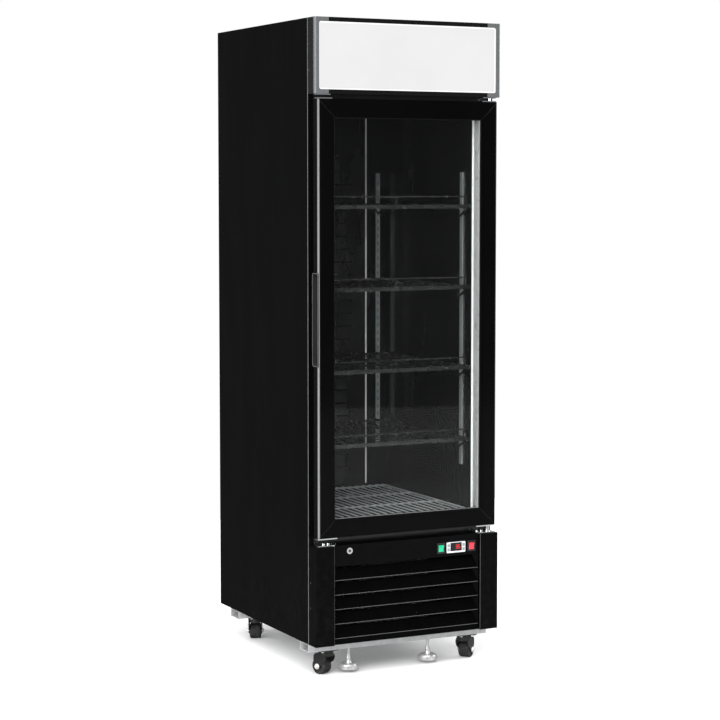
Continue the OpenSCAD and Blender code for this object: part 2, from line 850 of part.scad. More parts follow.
// Finned coil with a fan shroud, and the motor on its bracket.
module condenser() {
    half = condenser_fan_r + 18;
    low = base_z + 4;
    high = min(fan_z + condenser_fan_r + 12, deck_z - 8);
    motor_y = fan_y + 16;
    color("#9c9fa1") translate([condenser_x, 0, 0]) {
        difference() {
            span([-half, condenser_y, low], [half, fan_y + 12, high]);
            span([-half + 1.5, condenser_y + condenser_t, low + 1.5], [half - 1.5, fan_y + 13, high - 1.5]);
        }
        translate([0, 0, fan_z]) {
            rod_y(34, motor_y, motor_y + 52);
            rod_y(shaft_r, fan_y - 8, motor_y);
        }
        span([-16, motor_y + 10, base_z + 2], [16, motor_y + 40, fan_z - 20]);
    }
}

module condenser_fan() {
    color("#202224") translate([condenser_x, fan_y, fan_z]) fan(condenser_fan_r - 4, 5, 20);
}

// Gland for the supply cable.
module cable_gland() {
    x = side_x - back_return - skin_gap;
    color("#1b1b1b") translate([-x + x / 3, 0, base_z + 48]) difference() {
        union() {
            rod_y(10, back_y - 12, back_y - sheet_t);
            translate([0, back_y - sheet_t, 0]) rotate([90, 0, 0]) cylinder(r = 13.5, h = 5, $fn = 6);
        }
        rod_y(4, back_y - 20, back_y + 10);
    }
}

// ---------------------------------------------------------------- hinges

// Plates on the right post's top and under the canopy, with the door's pins,
// and the spare ones on the left.
module hinge_brackets() {
    y0 = front_y + 9;
    y1 = body_y - 1;
    pin_in = 9;
    low_top = deck_z + plate_t;
    high_under = canopy_z - plate_t;
    color("#d4d6d8") {
        both_sides() {
            span([hinge_x - 42, y0, deck_z], [hinge_x + 14, y1, low_top]);
            for (dx = [-32, -16]) translate([hinge_x + dx, front_y + 34, low_top]) cylinder(r = 4.5, h = 2.2);
            span([hinge_x - 30, y0, high_under], [hinge_x + 14, y1, canopy_z]);
        }
        translate([hinge_x, hinge_y, 0]) {
            translate([0, 0, low_top]) cylinder(r = 7.5, h = door_z - plate_t - gap - low_top);
            translate([0, 0, low_top]) cylinder(r = hinge_pin_r, h = door_z + pin_in - low_top);
            translate([0, 0, door_top - pin_in]) cylinder(r = hinge_pin_r, h = high_under - door_top + pin_in);
        }
    }
}

module door_hinge_plates() {
    y0 = front_y + 6;
    y1 = front_y + 40;
    color("#d4d6d8") both_sides() difference() {
        union() {
            span([door_x - plate_l, y0, door_z - plate_t], [door_x - 2, y1, door_z]);
            span([door_x - plate_l + 15, y0, door_top], [door_x - 2, y1, door_top + plate_t]);
        }
        translate([hinge_x, hinge_y, 0]) {
            translate([0, 0, door_z - 10]) cylinder(r = hinge_pin_r + run_gap, h = 20);
            translate([0, 0, door_top - 10]) cylinder(r = hinge_pin_r + run_gap, h = 20);
        }
    }
}

// ---------------------------------------------------------------- castors and feet

module castor_plates() {
    color("#1b1c1d") for (p = castor_at) translate([p[0], p[1], 0]) {
        span([-29, -29, castor_h - plate_t], [29, 29, castor_h]);
        translate([0, 0, crown_z + crown_t + gap])
            cylinder(r = 23, h = castor_h - plate_t - crown_z - crown_t - gap);
        translate([0, 0, crown_z - 4]) cylinder(r = king_r, h = crown_t + 6);
        translate([0, 0, crown_z - 4.3]) cylinder(r = 8, h = 4);
    }
}

// Place a castor's moving part i, with its axle behind the swivel axis.
module castor_place(i) {
    translate([castor_at[i][0], castor_at[i][1], 0]) rotate([0, 0, castor_turn[i]]) children();
}

module castor_fork(i) {
    out = fork_in + fork_t;
    color("#141414") castor_place(i) difference() {
        union() {
            translate([0, 0, crown_z]) linear_extrude(crown_t) {
                circle(r = out + 1);
                translate([-out, 0]) square([2 * out, crown_end]);
            }
            for (s = [-1, 1]) translate([s > 0 ? fork_in : -out, 0, 0]) rotate([90, 0, 90])
                linear_extrude(fork_t) {
                    polygon([[-13, crown_z + crown_t], [-18, crown_z - 4], [-13, crown_z - 17],
                             [trail - 9, wheel_r + 1], [trail + 9, wheel_r + 1],
                             [crown_end + 5, crown_z - 14], [crown_end + 5, crown_z - 2],
                             [crown_end, crown_z + crown_t]]);
                    translate([trail, wheel_r]) circle(r = 10);
                }
            translate([0, trail, wheel_r]) {
                rod_x(axle_r, 2 * out + 4);
                for (s = [-1, 1]) translate([s * (out + 2), 0, 0]) rotate([0, 90, 0])
                    cylinder(r = 6, h = 4, center = true, $fn = 6);
            }
        }
        translate([0, 0, crown_z - 1]) cylinder(r = king_r + run_gap, h = crown_t + 2);
        translate([0, 0, crown_z - 6.3]) cylinder(r = 8.4, h = 6.2);
    }
}

module castor_wheel(i) {
    w = wheel_w / 2;
    edge = 5;
    color("#2b2c2e") castor_place(i) translate([0, trail, wheel_r]) rotate([0, 90, 0])
        rotate_extrude($fn = 96) difference() {
            union() {
                translate([axle_r + run_gap, -w]) square([wheel_r - edge - axle_r - run_gap, 2 * w]);
                translate([wheel_r - edge - 1, -w + edge]) square([edge + 1, 2 * w - 2 * edge]);
                for (s = [-1, 1]) translate([wheel_r - edge, s * (w - edge)]) circle(r = edge);
            }
            for (s = [-1, 1]) translate([9, s > 0 ? w - 3 : -w - 1]) square([8, 4]);
        }
}

module foot(x) {
    pad_h = 17;
    color("#d0d3d5") translate([x, foot_y, foot_up]) {
        rotate_extrude() {
            difference() {
                square([foot_r, pad_h]);
                translate([foot_r - 9, pad_h - 6]) square([10, 10]);
            }
            translate([foot_r - 9, pad_h - 6]) intersection() {
                circle(r = 6);
                square(9);
            }
            translate([0, pad_h - 1]) polygon([[0, 0], [10, 0], [6.5, 9], [6.5, 15], [5, 26], [0, 26]]);
        }
        cylinder(r = stem_r, h = castor_h + 11 - foot_up);
    }
}

// ---------------------------------------------------------------- door

// Outline of the frame's section: x runs in from the door's edge, y back from its face.
module frame_section() {
    step_w = 7;
    step_d = 1.2;
    r = frame_round;
    slot = 2 * glass_t + glass_space + 0.4;
    slot_y = glass_y - front_y - 0.2;
    difference() {
        union() {
            translate([r, 0]) square([frame_w - r, door_t]);
            translate([0, r]) square([frame_w, door_t - r]);
            translate([r, r]) circle(r = r);
        }
        translate([frame_w - step_w, -1]) square([step_w + 1, step_d + 1]);
        translate([glass_edge - 0.3, slot_y]) square([frame_w, slot]);
    }
}

// One bar along Z with its outer edge at x = 0, mitred at both ends.
module frame_bar(l) {
    mitre = 0.05;
    difference() {
        linear_extrude(l) frame_section();
        translate([0, -1, mitre]) rotate([0, -45, 0]) translate([-99, 0, -99]) cube([200, door_t + 2, 99]);
        translate([0, -1, l - mitre]) rotate([0, 45, 0]) translate([-99, 0, 0]) cube([200, door_t + 2, 99]);
    }
}

module door_frame() {
    h = door_top - door_z;
    w = 2 * door_x;
    color("#0b0b0b") difference() {
        union() {
            both_sides() translate([-door_x, front_y, door_z]) frame_bar(h);
            translate([door_x, front_y, door_z]) rotate([0, -90, 0]) frame_bar(w);
            translate([-door_x, front_y, door_top]) rotate([0, 90, 0]) frame_bar(w);
        }
        grip_recess();
        translate([hinge_x, hinge_y, 0]) {
            translate([0, 0, door_z - 1]) cylinder(r = hinge_pin_r + 1, h = 11);
            translate([0, 0, door_top - 10]) cylinder(r = hinge_pin_r + 1, h = 11);
        }
    }
}

module grip_recess() {
    translate([-door_x - 1, grip_y0 - 0.1, grip_mid - grip_l / 2 - 0.1])
        cube([grip_in + 1.1, grip_y1 - grip_y0 + 0.2, grip_l + 0.2]);
}

// Cup set into the left stile, with round ends and a lip to pull on.
module door_grip() {
    wall = 2.2;
    w = grip_y1 - grip_y0 - 2 * wall;
    mid_y = (grip_y0 + grip_y1) / 2;
    color("#101010") difference() {
        translate([-door_x, grip_y0, grip_mid - grip_l / 2]) cube([grip_in, grip_y1 - grip_y0, grip_l]);
        translate([-door_x - 1, mid_y, grip_mid]) rotate([0, 90, 0]) linear_extrude(grip_in + 1 - wall)
            round_rect(grip_l - 2 * wall, w, 10);
    }
}

module glass_panes() {
    color([0.75, 0.82, 0.84, 0.35]) for (y = [glass_y, glass_y + glass_t + glass_space])
        span([-glass_x, y, glass_low], [glass_x, y + glass_t, glass_top]);
}

module glass_spacer() {
    in = 1.5;
    w = 8;
    y0 = glass_y + glass_t;
    color("#1c1c1e") difference() {
        span([-glass_x + in, y0, glass_low + in], [glass_x - in, y0 + glass_space, glass_top - in]);
        span([-glass_x + in + w, y0 - 1, glass_low + in + w],
             [glass_x - in - w, y0 + glass_space + 1, glass_top - in - w]);
    }
}

// Seal around the back of the door, with a hollow along its middle.
module gasket() {
    x = door_x - gasket_in;
    low = door_z + gasket_end;
    high = door_top - gasket_end;
    y1 = body_y - 0.4;
    color("#161616") difference() {
        span([-x, door_back, low], [x, y1, high]);
        span([-x + gasket_w, door_back - 1, low + gasket_w], [x - gasket_w, y1 + 1, high - gasket_w]);
        difference() {
            span([-x + 3, y1 - 1.6, low + 3], [x - 3, y1 + 1, high - 3]);
            span([-x + gasket_w - 3, y1 - 2, low + gasket_w - 3],
                 [x - gasket_w + 3, y1 + 2, high - gasket_w + 3]);
        }
    }
}

side_panels();
back_panel();
roof_panel();
rear_grille();
base_tray();
base_rails();
corner_posts();
louvre_panel();
control_strip();
lock_case();
lock_barrel();
switch_bezels();
green_rocker();
red_rocker();
controller_case();
display_window();
button(0);  // button_up
button(1);  // button_down
button(2);  // button_set
button(3);  // button_light
canopy_box();
canopy_end_caps();
canopy_sign();
canopy_led_bars();
case_screws();
foam_core();
liner();
led_profiles();
shelf_standards();
shelf_clips();
duct_panel();
evaporator_coil();
evaporator_fan();
compressor();
condenser();
condenser_fan();
cable_gland();
hinge_brackets();
castor_plates();
castor_fork(0);  // castor_fork_1
castor_fork(1);  // castor_fork_2
castor_fork(2);  // castor_fork_3
castor_fork(3);  // castor_fork_4
castor_wheel(0);  // castor_wheel_1
castor_wheel(1);  // castor_wheel_2
castor_wheel(2);  // castor_wheel_3
castor_wheel(3);  // castor_wheel_4
foot(foot_at[0]);  // foot_left
foot(foot_at[1]);  // foot_right
shelf(0);  // shelf_1
shelf(1);  // shelf_2
shelf(2);  // shelf_3
shelf(3);  // shelf_4
floor_rack();
door_frame();
glass_panes();
glass_spacer();
gasket();
door_grip();
door_hinge_plates();
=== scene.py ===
"""Finishes, small fittings and studio for the upright glass door merchandiser."""

import json
import logging
import math
from collections.abc import Callable, Iterable
from dataclasses import dataclass, field
from enum import Enum

import bmesh
import bpy
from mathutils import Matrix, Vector

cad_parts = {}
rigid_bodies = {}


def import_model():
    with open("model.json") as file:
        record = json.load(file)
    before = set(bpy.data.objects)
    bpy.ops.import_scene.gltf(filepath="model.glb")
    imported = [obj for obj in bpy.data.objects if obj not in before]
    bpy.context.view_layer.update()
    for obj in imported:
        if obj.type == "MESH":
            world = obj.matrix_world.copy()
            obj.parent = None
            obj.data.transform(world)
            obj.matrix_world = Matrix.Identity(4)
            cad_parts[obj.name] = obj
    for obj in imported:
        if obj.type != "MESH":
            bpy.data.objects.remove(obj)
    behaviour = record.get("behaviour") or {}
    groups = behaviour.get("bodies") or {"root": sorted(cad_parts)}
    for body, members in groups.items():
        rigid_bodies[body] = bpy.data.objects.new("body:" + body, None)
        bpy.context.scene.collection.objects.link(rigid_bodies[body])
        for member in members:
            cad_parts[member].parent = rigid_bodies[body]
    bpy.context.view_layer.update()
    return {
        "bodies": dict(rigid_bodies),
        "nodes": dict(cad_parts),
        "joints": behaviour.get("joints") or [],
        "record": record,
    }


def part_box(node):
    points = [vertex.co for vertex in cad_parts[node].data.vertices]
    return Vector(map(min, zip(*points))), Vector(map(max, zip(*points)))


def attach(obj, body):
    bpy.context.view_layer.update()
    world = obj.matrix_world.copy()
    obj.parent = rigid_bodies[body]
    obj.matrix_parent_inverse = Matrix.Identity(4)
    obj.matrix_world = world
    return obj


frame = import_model()

LOG = logging.getLogger("merchandiser")

Colour = tuple[float, float, float]
Triple = tuple[float, float, float]
Socket = bpy.types.NodeSocket
FaceTest = Callable[[Vector, Vector], bool]
EdgeTest = Callable[[Vector, Vector], bool]


class Axis(Enum):
    """Direction that a round piece or a ring points along."""

    X = (0.0, math.pi / 2, 0.0)
    Y = (math.pi / 2, 0.0, 0.0)
    Z = (0.0, 0.0, 0.0)

    @property
    def index(self) -> int:
        """Place of the axis in a coordinate triple."""
        return "XYZ".index(self.name)


class Side(Enum):
    """Left or right half of the cabinet, seen from the door."""

    LEFT = -1
    RIGHT = 1

    @property
    def label(self) -> str:
        """Word for the side, for piece names."""
        return self.name.lower()


@dataclass(frozen=True)
class Box:
    """Lowest and highest corner of a block, in metres."""

    low: Vector
    high: Vector

    @classmethod
    def of(cls, node: str) -> "Box":
        """Box of a CAD node at rest."""
        return cls(*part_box(node))

    @classmethod
    def span(cls, x: tuple[float, float], y: tuple[float, float], z: tuple[float, float]) -> "Box":
        """Box between three pairs of values, given in either order."""
        pairs = [sorted(pair) for pair in (x, y, z)]
        return cls(Vector([p[0] for p in pairs]), Vector([p[1] for p in pairs]))

    @property
    def centre(self) -> Vector:
        """Middle of the box."""
        return (self.low + self.high) / 2

    @property
    def size(self) -> Vector:
        """Width, depth and height of the box."""
        return self.high - self.low


class ShaderGraph:
    """Node tree of one material, with the few moves that every finish needs."""

    def __init__(self, name: str) -> None:
        """Start an empty material.

        Args:
            name: Name of the material.
        """
        self.material = bpy.data.materials.new(name)
        self.material.use_nodes = True
        self.tree = self.material.node_tree
        self.tree.nodes.clear()
        self.output = self.node("ShaderNodeOutputMaterial")
        self.place = self.node("ShaderNodeTexCoord").outputs["Object"]

    def node(self, kind: str, **settings: object) -> bpy.types.Node:
        """Add a node.

        Args:
            kind: Blender's name for the type of node.
            **settings: Properties to set on it.

        Returns:
            The new node.
        """
        made = self.tree.nodes.new(kind)
        for key, value in settings.items():
            setattr(made, key, value)
        return made

    def wire(self, source: Socket, target: Socket) -> None:
        """Join an output to an input."""
        self.tree.links.new(source, target)

    def feed(self, target: Socket, value: object) -> None:
        """Give an input a plain value or a link, whichever value is."""
        if isinstance(value, bpy.types.NodeSocket):
            self.wire(value, target)
        else:
            target.default_value = value

    def mapped(self, scale: Triple, turn: Triple = (0, 0, 0), centre: Triple = (0, 0, 0)) -> Socket:
        """Coordinates centred, turned and stretched for a pattern.

        Args:
            scale: Stretch along each axis.
            turn: Turn in radians.
            centre: Point that the pattern turns about.

        Returns:
            The vector output.
        """
        move = self.node("ShaderNodeMapping", vector_type="POINT")
        self.wire(self.place, move.inputs["Vector"])
        move.inputs["Location"].default_value = [-c for c in centre]
        spin = self.node("ShaderNodeMapping", vector_type="POINT")
        self.wire(move.outputs[0], spin.inputs["Vector"])
        spin.inputs["Rotation"].default_value = turn
        size = self.node("ShaderNodeMapping", vector_type="POINT")
        self.wire(spin.outputs[0], size.inputs["Vector"])
        size.inputs["Scale"].default_value = scale
        return size.outputs[0]

    def noise(
        self, scale: float, detail: float = 3.0, rough: float = 0.55, place: Socket | None = None,
    ) -> Socket:
        """Cloudy pattern from 0 to 1.

        Args:
            scale: Patches per metre.
            detail: Octaves.
            rough: Share that each finer octave keeps.
            place: Coordinates, if not the plain ones.

        Returns:
            The value output.
        """
        made = self.node("ShaderNodeTexNoise")
        self.wire(place or self.place, made.inputs["Vector"])
        made.inputs["Scale"].default_value = scale
        made.inputs["Detail"].default_value = detail
        made.inputs["Roughness"].default_value = rough
        return made.outputs["Fac"]

    def band(self, source: Socket, low: float, high: float, to_low: float, to_high: float) -> Socket:
        """Value moved from one range to another, and held inside it.

        Args:
            source: Value to move.
            low: Start of its range.
            high: End of its range.
            to_low: Result at the start.
            to_high: Result at the end.

        Returns:
            The value output.
        """
        made = self.node("ShaderNodeMapRange")
        self.wire(source, made.inputs["Value"])
        for key, value in (("From Min", low), ("From Max", high), ("To Min", to_low), ("To Max", to_high)):
            made.inputs[key].default_value = value
        return made.outputs["Result"]

    def maths(self, action: str, first: Socket, second: Socket | float = 0.0) -> Socket:
        """Sum, product or other step of arithmetic on one or two values.

        Args:
            action: Blender's name for the step.
            first: First value.
            second: Second value.

        Returns:
            The value output.
        """
        made = self.node("ShaderNodeMath", operation=action)
        self.wire(first, made.inputs[0])
        self.feed(made.inputs[1], second)
        return made.outputs[0]

    def tint(self, share: Socket, first: Colour | Socket, second: Colour | Socket) -> Socket:
        """Colour between two colours.

        Args:
            share: 0 for the first colour, 1 for the second.
            first: First colour.
            second: Second colour.

        Returns:
            The colour output.
        """
        made = self.node("ShaderNodeMix", data_type="RGBA")
        self.wire(share, made.inputs[0])
        for slot, colour in ((6, first), (7, second)):
            if isinstance(colour, tuple):
                made.inputs[slot].default_value = (*colour, 1.0)
            else:
                self.wire(colour, made.inputs[slot])
        return made.outputs[2]

    def relief(
        self, height: Socket, depth: float, strength: float = 1.0, under: Socket | None = None,
    ) -> Socket:
        """Bump from a height pattern.

        Args:
            height: Pattern from 0 to 1.
            depth: Height of the relief, in metres.
            strength: Share of the relief that shows.
            under: Normal that it is laid over.

        Returns:
            The normal output.
        """
        made = self.node("ShaderNodeBump")
        made.inputs["Strength"].default_value = strength
        made.inputs["Distance"].default_value = depth
        self.wire(height, made.inputs["Height"])
        if under is not None:
            self.wire(under, made.inputs["Normal"])
        return made.outputs["Normal"]

    def axis_value(self, axis: Axis, place: Socket | None = None) -> Socket:
        """One coordinate of a point."""
        split = self.node("ShaderNodeSeparateXYZ")
        self.wire(place or self.place, split.inputs[0])
        return split.outputs[axis.index]

    def surface(self, **values: object) -> bpy.types.Node:
        """Add the main shader and join it to the output.

        Args:
            **values: Inputs by name, with underscores for spaces.

        Returns:
            The shader node.
        """
        shader = self.node("ShaderNodeBsdfPrincipled")
        for key, value in values.items():
            socket = shader.inputs[key.replace("_", " ")]
            if isinstance(value, tuple) and len(value) == 3:
                value = (*value, 1.0)
            self.feed(socket, value)
        self.wire(shader.outputs[0], self.output.inputs["Surface"])
        return shader


@dataclass(frozen=True)
class Finish:
    """One finish of the object; make() builds its material once."""

    name: str

    def make(self) -> bpy.types.Material:
        """Material of the finish, built on its first use."""
        return bpy.data.materials.get(self.name) or self.build(ShaderGraph(self.name))

    def build(self, graph: ShaderGraph) -> bpy.types.Material:
        """Build the node tree; each kind of finish has its own."""
        raise NotImplementedError


@dataclass(frozen=True)
class CoatedSteel(Finish):
    """Sheet steel with a baked satin coat: orange peel, handling marks and dust low down."""

    colour: Colour = (0.0085, 0.0085, 0.009)
    rough: float = 0.4
    gloss: float = 0.32
    dust: float = 0.012

    def build(self, graph: ShaderGraph) -> bpy.types.Material:
        """Build the coated sheet."""
        clouds = graph.noise(3.2, 4, 0.6)
        wipes = graph.noise(9, 4, 0.65, graph.mapped((1.0, 1.0, 0.22)))
        low_down = graph.band(graph.axis_value(Axis.Z), 0.08, 0.5, 1.0, 0.0)
        dusty = graph.maths("MULTIPLY", low_down, graph.band(graph.noise(46, 5, 0.7), 0.42, 0.8, 0.0, 1.0))
        tone = graph.tint(clouds, tuple(c * 0.82 for c in self.colour), tuple(c * 1.22 for c in self.colour))
        wiped = graph.band(wipes, 0.55, 0.8, 0.0, 0.35)
        marked = graph.tint(wiped, tone, tuple(c * 1.7 for c in self.colour))
        worn = graph.tint(dusty, marked, tuple(c + self.dust for c in self.colour))
        rough = graph.maths(
            "ADD",
            graph.band(wipes, 0.3, 0.75, self.rough - 0.06, self.rough + 0.07),
            graph.maths("MULTIPLY", dusty, 0.16),
        )
        peel = graph.relief(graph.noise(620, 2, 0.4), 0.00006, 0.55)
        wave = graph.relief(graph.noise(5, 1, 0.3), 0.0016, 0.10, peel)
        graph.surface(Base_Color=worn, Roughness=rough, Specular_IOR_Level=self.gloss, Normal=wave)
        return graph.material


@dataclass(frozen=True)
class GlossCoat(Finish):
    """High gloss frame or moulding: deep colour, clear coat, faint smears and wipe marks."""

    colour: Colour = (0.006, 0.006, 0.0065)
    rough: float = 0.14
    coat: float = 0.35
    grain: float = 0.25

    def build(self, graph: ShaderGraph) -> bpy.types.Material:
        """Build the gloss coat."""
        smears = graph.noise(7, 5, 0.6, graph.mapped((1.0, 1.0, 0.35)))
        fine = graph.noise(260, 3, 0.6, graph.mapped((1.0, 1.0, 0.04)))
        tone = graph.tint(smears, tuple(c * 0.7 for c in self.colour), tuple(c * 1.5 for c in self.colour))
        rough = graph.maths(
            "ADD",
            graph.band(smears, 0.35, 0.75, self.rough * 0.6, self.rough * 1.5),
            graph.maths("MULTIPLY", fine, self.rough * self.grain),
        )
        ripple = graph.relief(graph.noise(7, 1, 0.3), 0.0005, 0.06)
        skin = graph.relief(graph.noise(900, 2, 0.5), 0.00002, 0.3, ripple)
        graph.surface(
            Base_Color=tone, Roughness=rough, Normal=skin, Coat_Weight=self.coat,
            Coat_Roughness=0.06, Specular_IOR_Level=0.5,
        )
        return graph.material


@dataclass(frozen=True)
class MitredCoat(Finish):
    """Gloss coated frame bars with a fine joint line across each mitred corner, and a painted highlight
    along the rounded front edge on the handle side and a fainter one along the foot.
    """

    box: Box | None = None
    colour: Colour = (0.001, 0.001, 0.0011)
    rough: float = 0.13
    bar: float = 0.054
    joint: float = 0.00045
    # Colour of the painted highlight on the front edge and the foot.
    edge_tone: Colour = (0.15, 0.15, 0.152)

    def edge(self, graph: ShaderGraph, local: Socket) -> Socket:
        """Painted highlight on the rounded front edge on the handle side, and a fainter painted highlight
        along the foot.

        Args:
            graph: Graph to build in.
            local: Object coordinates from the frame's middle.

        Returns:
            1 on the painted highlight, falling to 0 on the flat faces.
        """
        half = self.box.size / 2
        from_left = graph.maths("ADD", graph.axis_value(Axis.X, local), half.x)
        from_foot = graph.maths("ADD", graph.axis_value(Axis.Z, local), half.z)
        from_front = graph.maths("ADD", graph.axis_value(Axis.Y, local), half.y)
        side = graph.band(graph.maths("MAXIMUM", from_left, from_front), 0.0035, 0.0062, 1.0, 0.0)
        foot = graph.band(graph.maths("MAXIMUM", from_foot, from_front), 0.001, 0.003, 0.28, 0.0)
        return graph.maths("MAXIMUM", side, foot)

    def build(self, graph: ShaderGraph) -> bpy.types.Material:
        """Build the frame coat."""
        centre, half = self.box.centre, self.box.size / 2
        local = graph.mapped((1.0, 1.0, 1.0), centre=tuple(centre))
        from_side = graph.maths("ABSOLUTE", graph.maths(
            "SUBTRACT", graph.maths("ABSOLUTE", graph.axis_value(Axis.X, local)), half.x))
        from_end = graph.maths("ABSOLUTE", graph.maths(
            "SUBTRACT", graph.maths("ABSOLUTE", graph.axis_value(Axis.Z, local)), half.z))
        apart = graph.maths("ABSOLUTE", graph.maths("SUBTRACT", from_side, from_end))
        joint = graph.maths(
            "MULTIPLY", graph.band(apart, self.joint * 0.4, self.joint, 1.0, 0.0),
            graph.band(from_side, self.bar - 0.0001, self.bar, 1.0, 0.0),
        )
        smears = graph.noise(6, 5, 0.6, graph.mapped((1.0, 1.0, 0.35)))
        fine = graph.noise(240, 3, 0.6, graph.mapped((1.0, 1.0, 0.05)))
        tone = graph.tint(smears, tuple(c * 0.6 for c in self.colour), tuple(c * 1.8 for c in self.colour))
        lined = graph.tint(joint, tone, (0.03, 0.03, 0.032))
        # Painted highlight: the rounded front edge and the foot are coloured light, standing in for a
        # reflection of the lamps.
        lined = graph.tint(self.edge(graph, local), lined, self.edge_tone)
        rough = graph.maths(
            "ADD", graph.band(smears, 0.35, 0.75, self.rough * 0.6, self.rough * 1.7),
            graph.maths("MULTIPLY", fine, self.rough * 0.2),
        )
        ripple = graph.relief(graph.noise(7, 1, 0.3), 0.0005, 0.05)
        groove = graph.relief(graph.maths("MULTIPLY", joint, -1.0), 0.0003, 0.6, ripple)
        graph.surface(
            Base_Color=lined, Roughness=rough, Normal=groove, Coat_Weight=0.02,
            Coat_Roughness=0.05, Specular_IOR_Level=0.06,
        )
        return graph.material


@dataclass(frozen=True)
class CapPlastic(Finish):
    """Grey end cap with a near-black band round the sign's opening, painted shade of the step there."""

    box: Box | None = None
    opening: Triple = (0.3045, 0.0, 0.1035)
    corner: float = 0.008
    colour: Colour = (0.032, 0.032, 0.0325)

    def build(self, graph: ShaderGraph) -> bpy.types.Material:
        """Build the cap."""
        local = graph.mapped((1.0, 1.0, 1.0), centre=tuple(self.box.centre))
        past_x, past_z = (
            graph.maths("MAXIMUM", graph.maths(
                "SUBTRACT", graph.maths("ABSOLUTE", graph.axis_value(axis, local)),
                self.opening[axis.index] - self.corner,
            ), 0.0)
            for axis in (Axis.X, Axis.Z)
        )
        out = graph.maths("SQRT", graph.maths(
            "ADD", graph.maths("MULTIPLY", past_x, past_x), graph.maths("MULTIPLY", past_z, past_z)))
        # Painted shade: a near-black band round the sign's opening, standing in for the shadow of the step.
        rebate_shade = graph.band(out, self.corner - 0.0004, self.corner, 1.0, 0.0)
        mottle = graph.noise(30, 4, 0.6)
        tone = graph.tint(mottle, tuple(c * 0.86 for c in self.colour), tuple(c * 1.14 for c in self.colour))
        lined = graph.tint(rebate_shade, tone, (0.004, 0.004, 0.004))
        spark = graph.relief(graph.noise(1000, 2, 0.6), 0.00005, 0.6)
        graph.surface(
            Base_Color=lined, Roughness=graph.band(mottle, 0.3, 0.8, 0.34, 0.46),
            Specular_IOR_Level=0.12, Normal=spark,
        )
        return graph.material


@dataclass(frozen=True)
class BrightMetal(Finish):
    """Plated or polished metal with hairline scratches along one axis and dull patches."""

    colour: Colour = (0.72, 0.72, 0.71)
    rough: float = 0.2
    along: Axis = Axis.X
    scratch: float = 0.5
    metal: float = 1.0

    def build(self, graph: ShaderGraph) -> bpy.types.Material:
        """Build the bright metal."""
        stretch = [1.0, 1.0, 1.0]
        stretch[self.along.index] = 0.03
        lines = graph.noise(1500, 3, 0.7, graph.mapped(tuple(stretch)))
        patches = graph.noise(38, 4, 0.6)
        tone = graph.tint(patches, tuple(c * 0.78 for c in self.colour), self.colour)
        scored = graph.band(lines, 0.6, 0.8, 0.0, 0.4)
        tarnish = graph.tint(scored, tone, tuple(c * 0.55 for c in self.colour))
        rough = graph.maths(
            "ADD",
            graph.band(patches, 0.3, 0.8, self.rough * 0.7, self.rough * 1.5),
            graph.band(lines, 0.4, 0.8, 0.0, self.rough * 0.5),
        )
        hair = graph.relief(lines, 0.00004, self.scratch)
        graph.surface(Base_Color=tarnish, Roughness=rough, Metallic=self.metal, Normal=hair)
        return graph.material


@dataclass(frozen=True)
class ZincSheet(Finish):
    """Hot dipped steel with its flowered crystals and a chalky bloom."""

    colour: Colour = (0.52, 0.53, 0.54)
    flower: float = 95.0

    def build(self, graph: ShaderGraph) -> bpy.types.Material:
        """Build the zinc coat."""
        cells = graph.node("ShaderNodeTexVoronoi", feature="F1")
        graph.wire(graph.place, cells.inputs["Vector"])
        cells.inputs["Scale"].default_value = self.flower
        split = graph.node("ShaderNodeSeparateColor")
        graph.wire(cells.outputs["Color"], split.inputs[0])
        crystal = split.outputs[0]
        bloom = graph.noise(22, 5, 0.65)
        tone = graph.tint(crystal, tuple(c * 0.9 for c in self.colour), tuple(c * 1.08 for c in self.colour))
        chalk = graph.tint(graph.band(bloom, 0.5, 0.8, 0.0, 0.5), tone, (0.5, 0.5, 0.49))
        rough = graph.maths(
            "ADD", graph.band(crystal, 0.0, 1.0, 0.28, 0.46), graph.band(bloom, 0.5, 0.8, 0.0, 0.2)
        )
        grainy = graph.relief(graph.noise(700, 3, 0.6), 0.00005, 0.5)
        graph.surface(Base_Color=chalk, Roughness=rough, Metallic=0.3, Normal=grainy)
        return graph.material


@dataclass(frozen=True)
class MouldedPlastic(Finish):
    """Moulded or dipped plastic: fine spark grain, slight mottling and scuffs."""

    colour: Colour = (0.012, 0.012, 0.012)
    rough: float = 0.42
    grain: float = 1100.0
    depth: float = 0.00006
    gloss: float = 0.42

    def build(self, graph: ShaderGraph) -> bpy.types.Material:
        """Build the plastic."""
        mottle = graph.noise(30, 4, 0.6)
        scuffs = graph.band(graph.noise(120, 4, 0.7, graph.mapped((1.0, 0.4, 1.0))), 0.62, 0.82, 0.0, 0.5)
        pale = tuple(min(1.0, c * 1.14) for c in self.colour)
        tone = graph.tint(mottle, tuple(c * 0.84 for c in self.colour), pale)
        pale = tuple(min(1.0, c * 1.25 + 0.0008) for c in self.colour)
        worn = graph.tint(scuffs, tone, pale)
        rough = graph.maths("ADD", graph.band(mottle, 0.3, 0.8, self.rough - 0.05, self.rough + 0.07),
                            graph.maths("MULTIPLY", scuffs, 0.15))
        spark = graph.relief(graph.noise(self.grain, 2, 0.6), self.depth, 0.6)
        graph.surface(Base_Color=worn, Roughness=rough, Specular_IOR_Level=self.gloss, Normal=spark)
        return graph.material


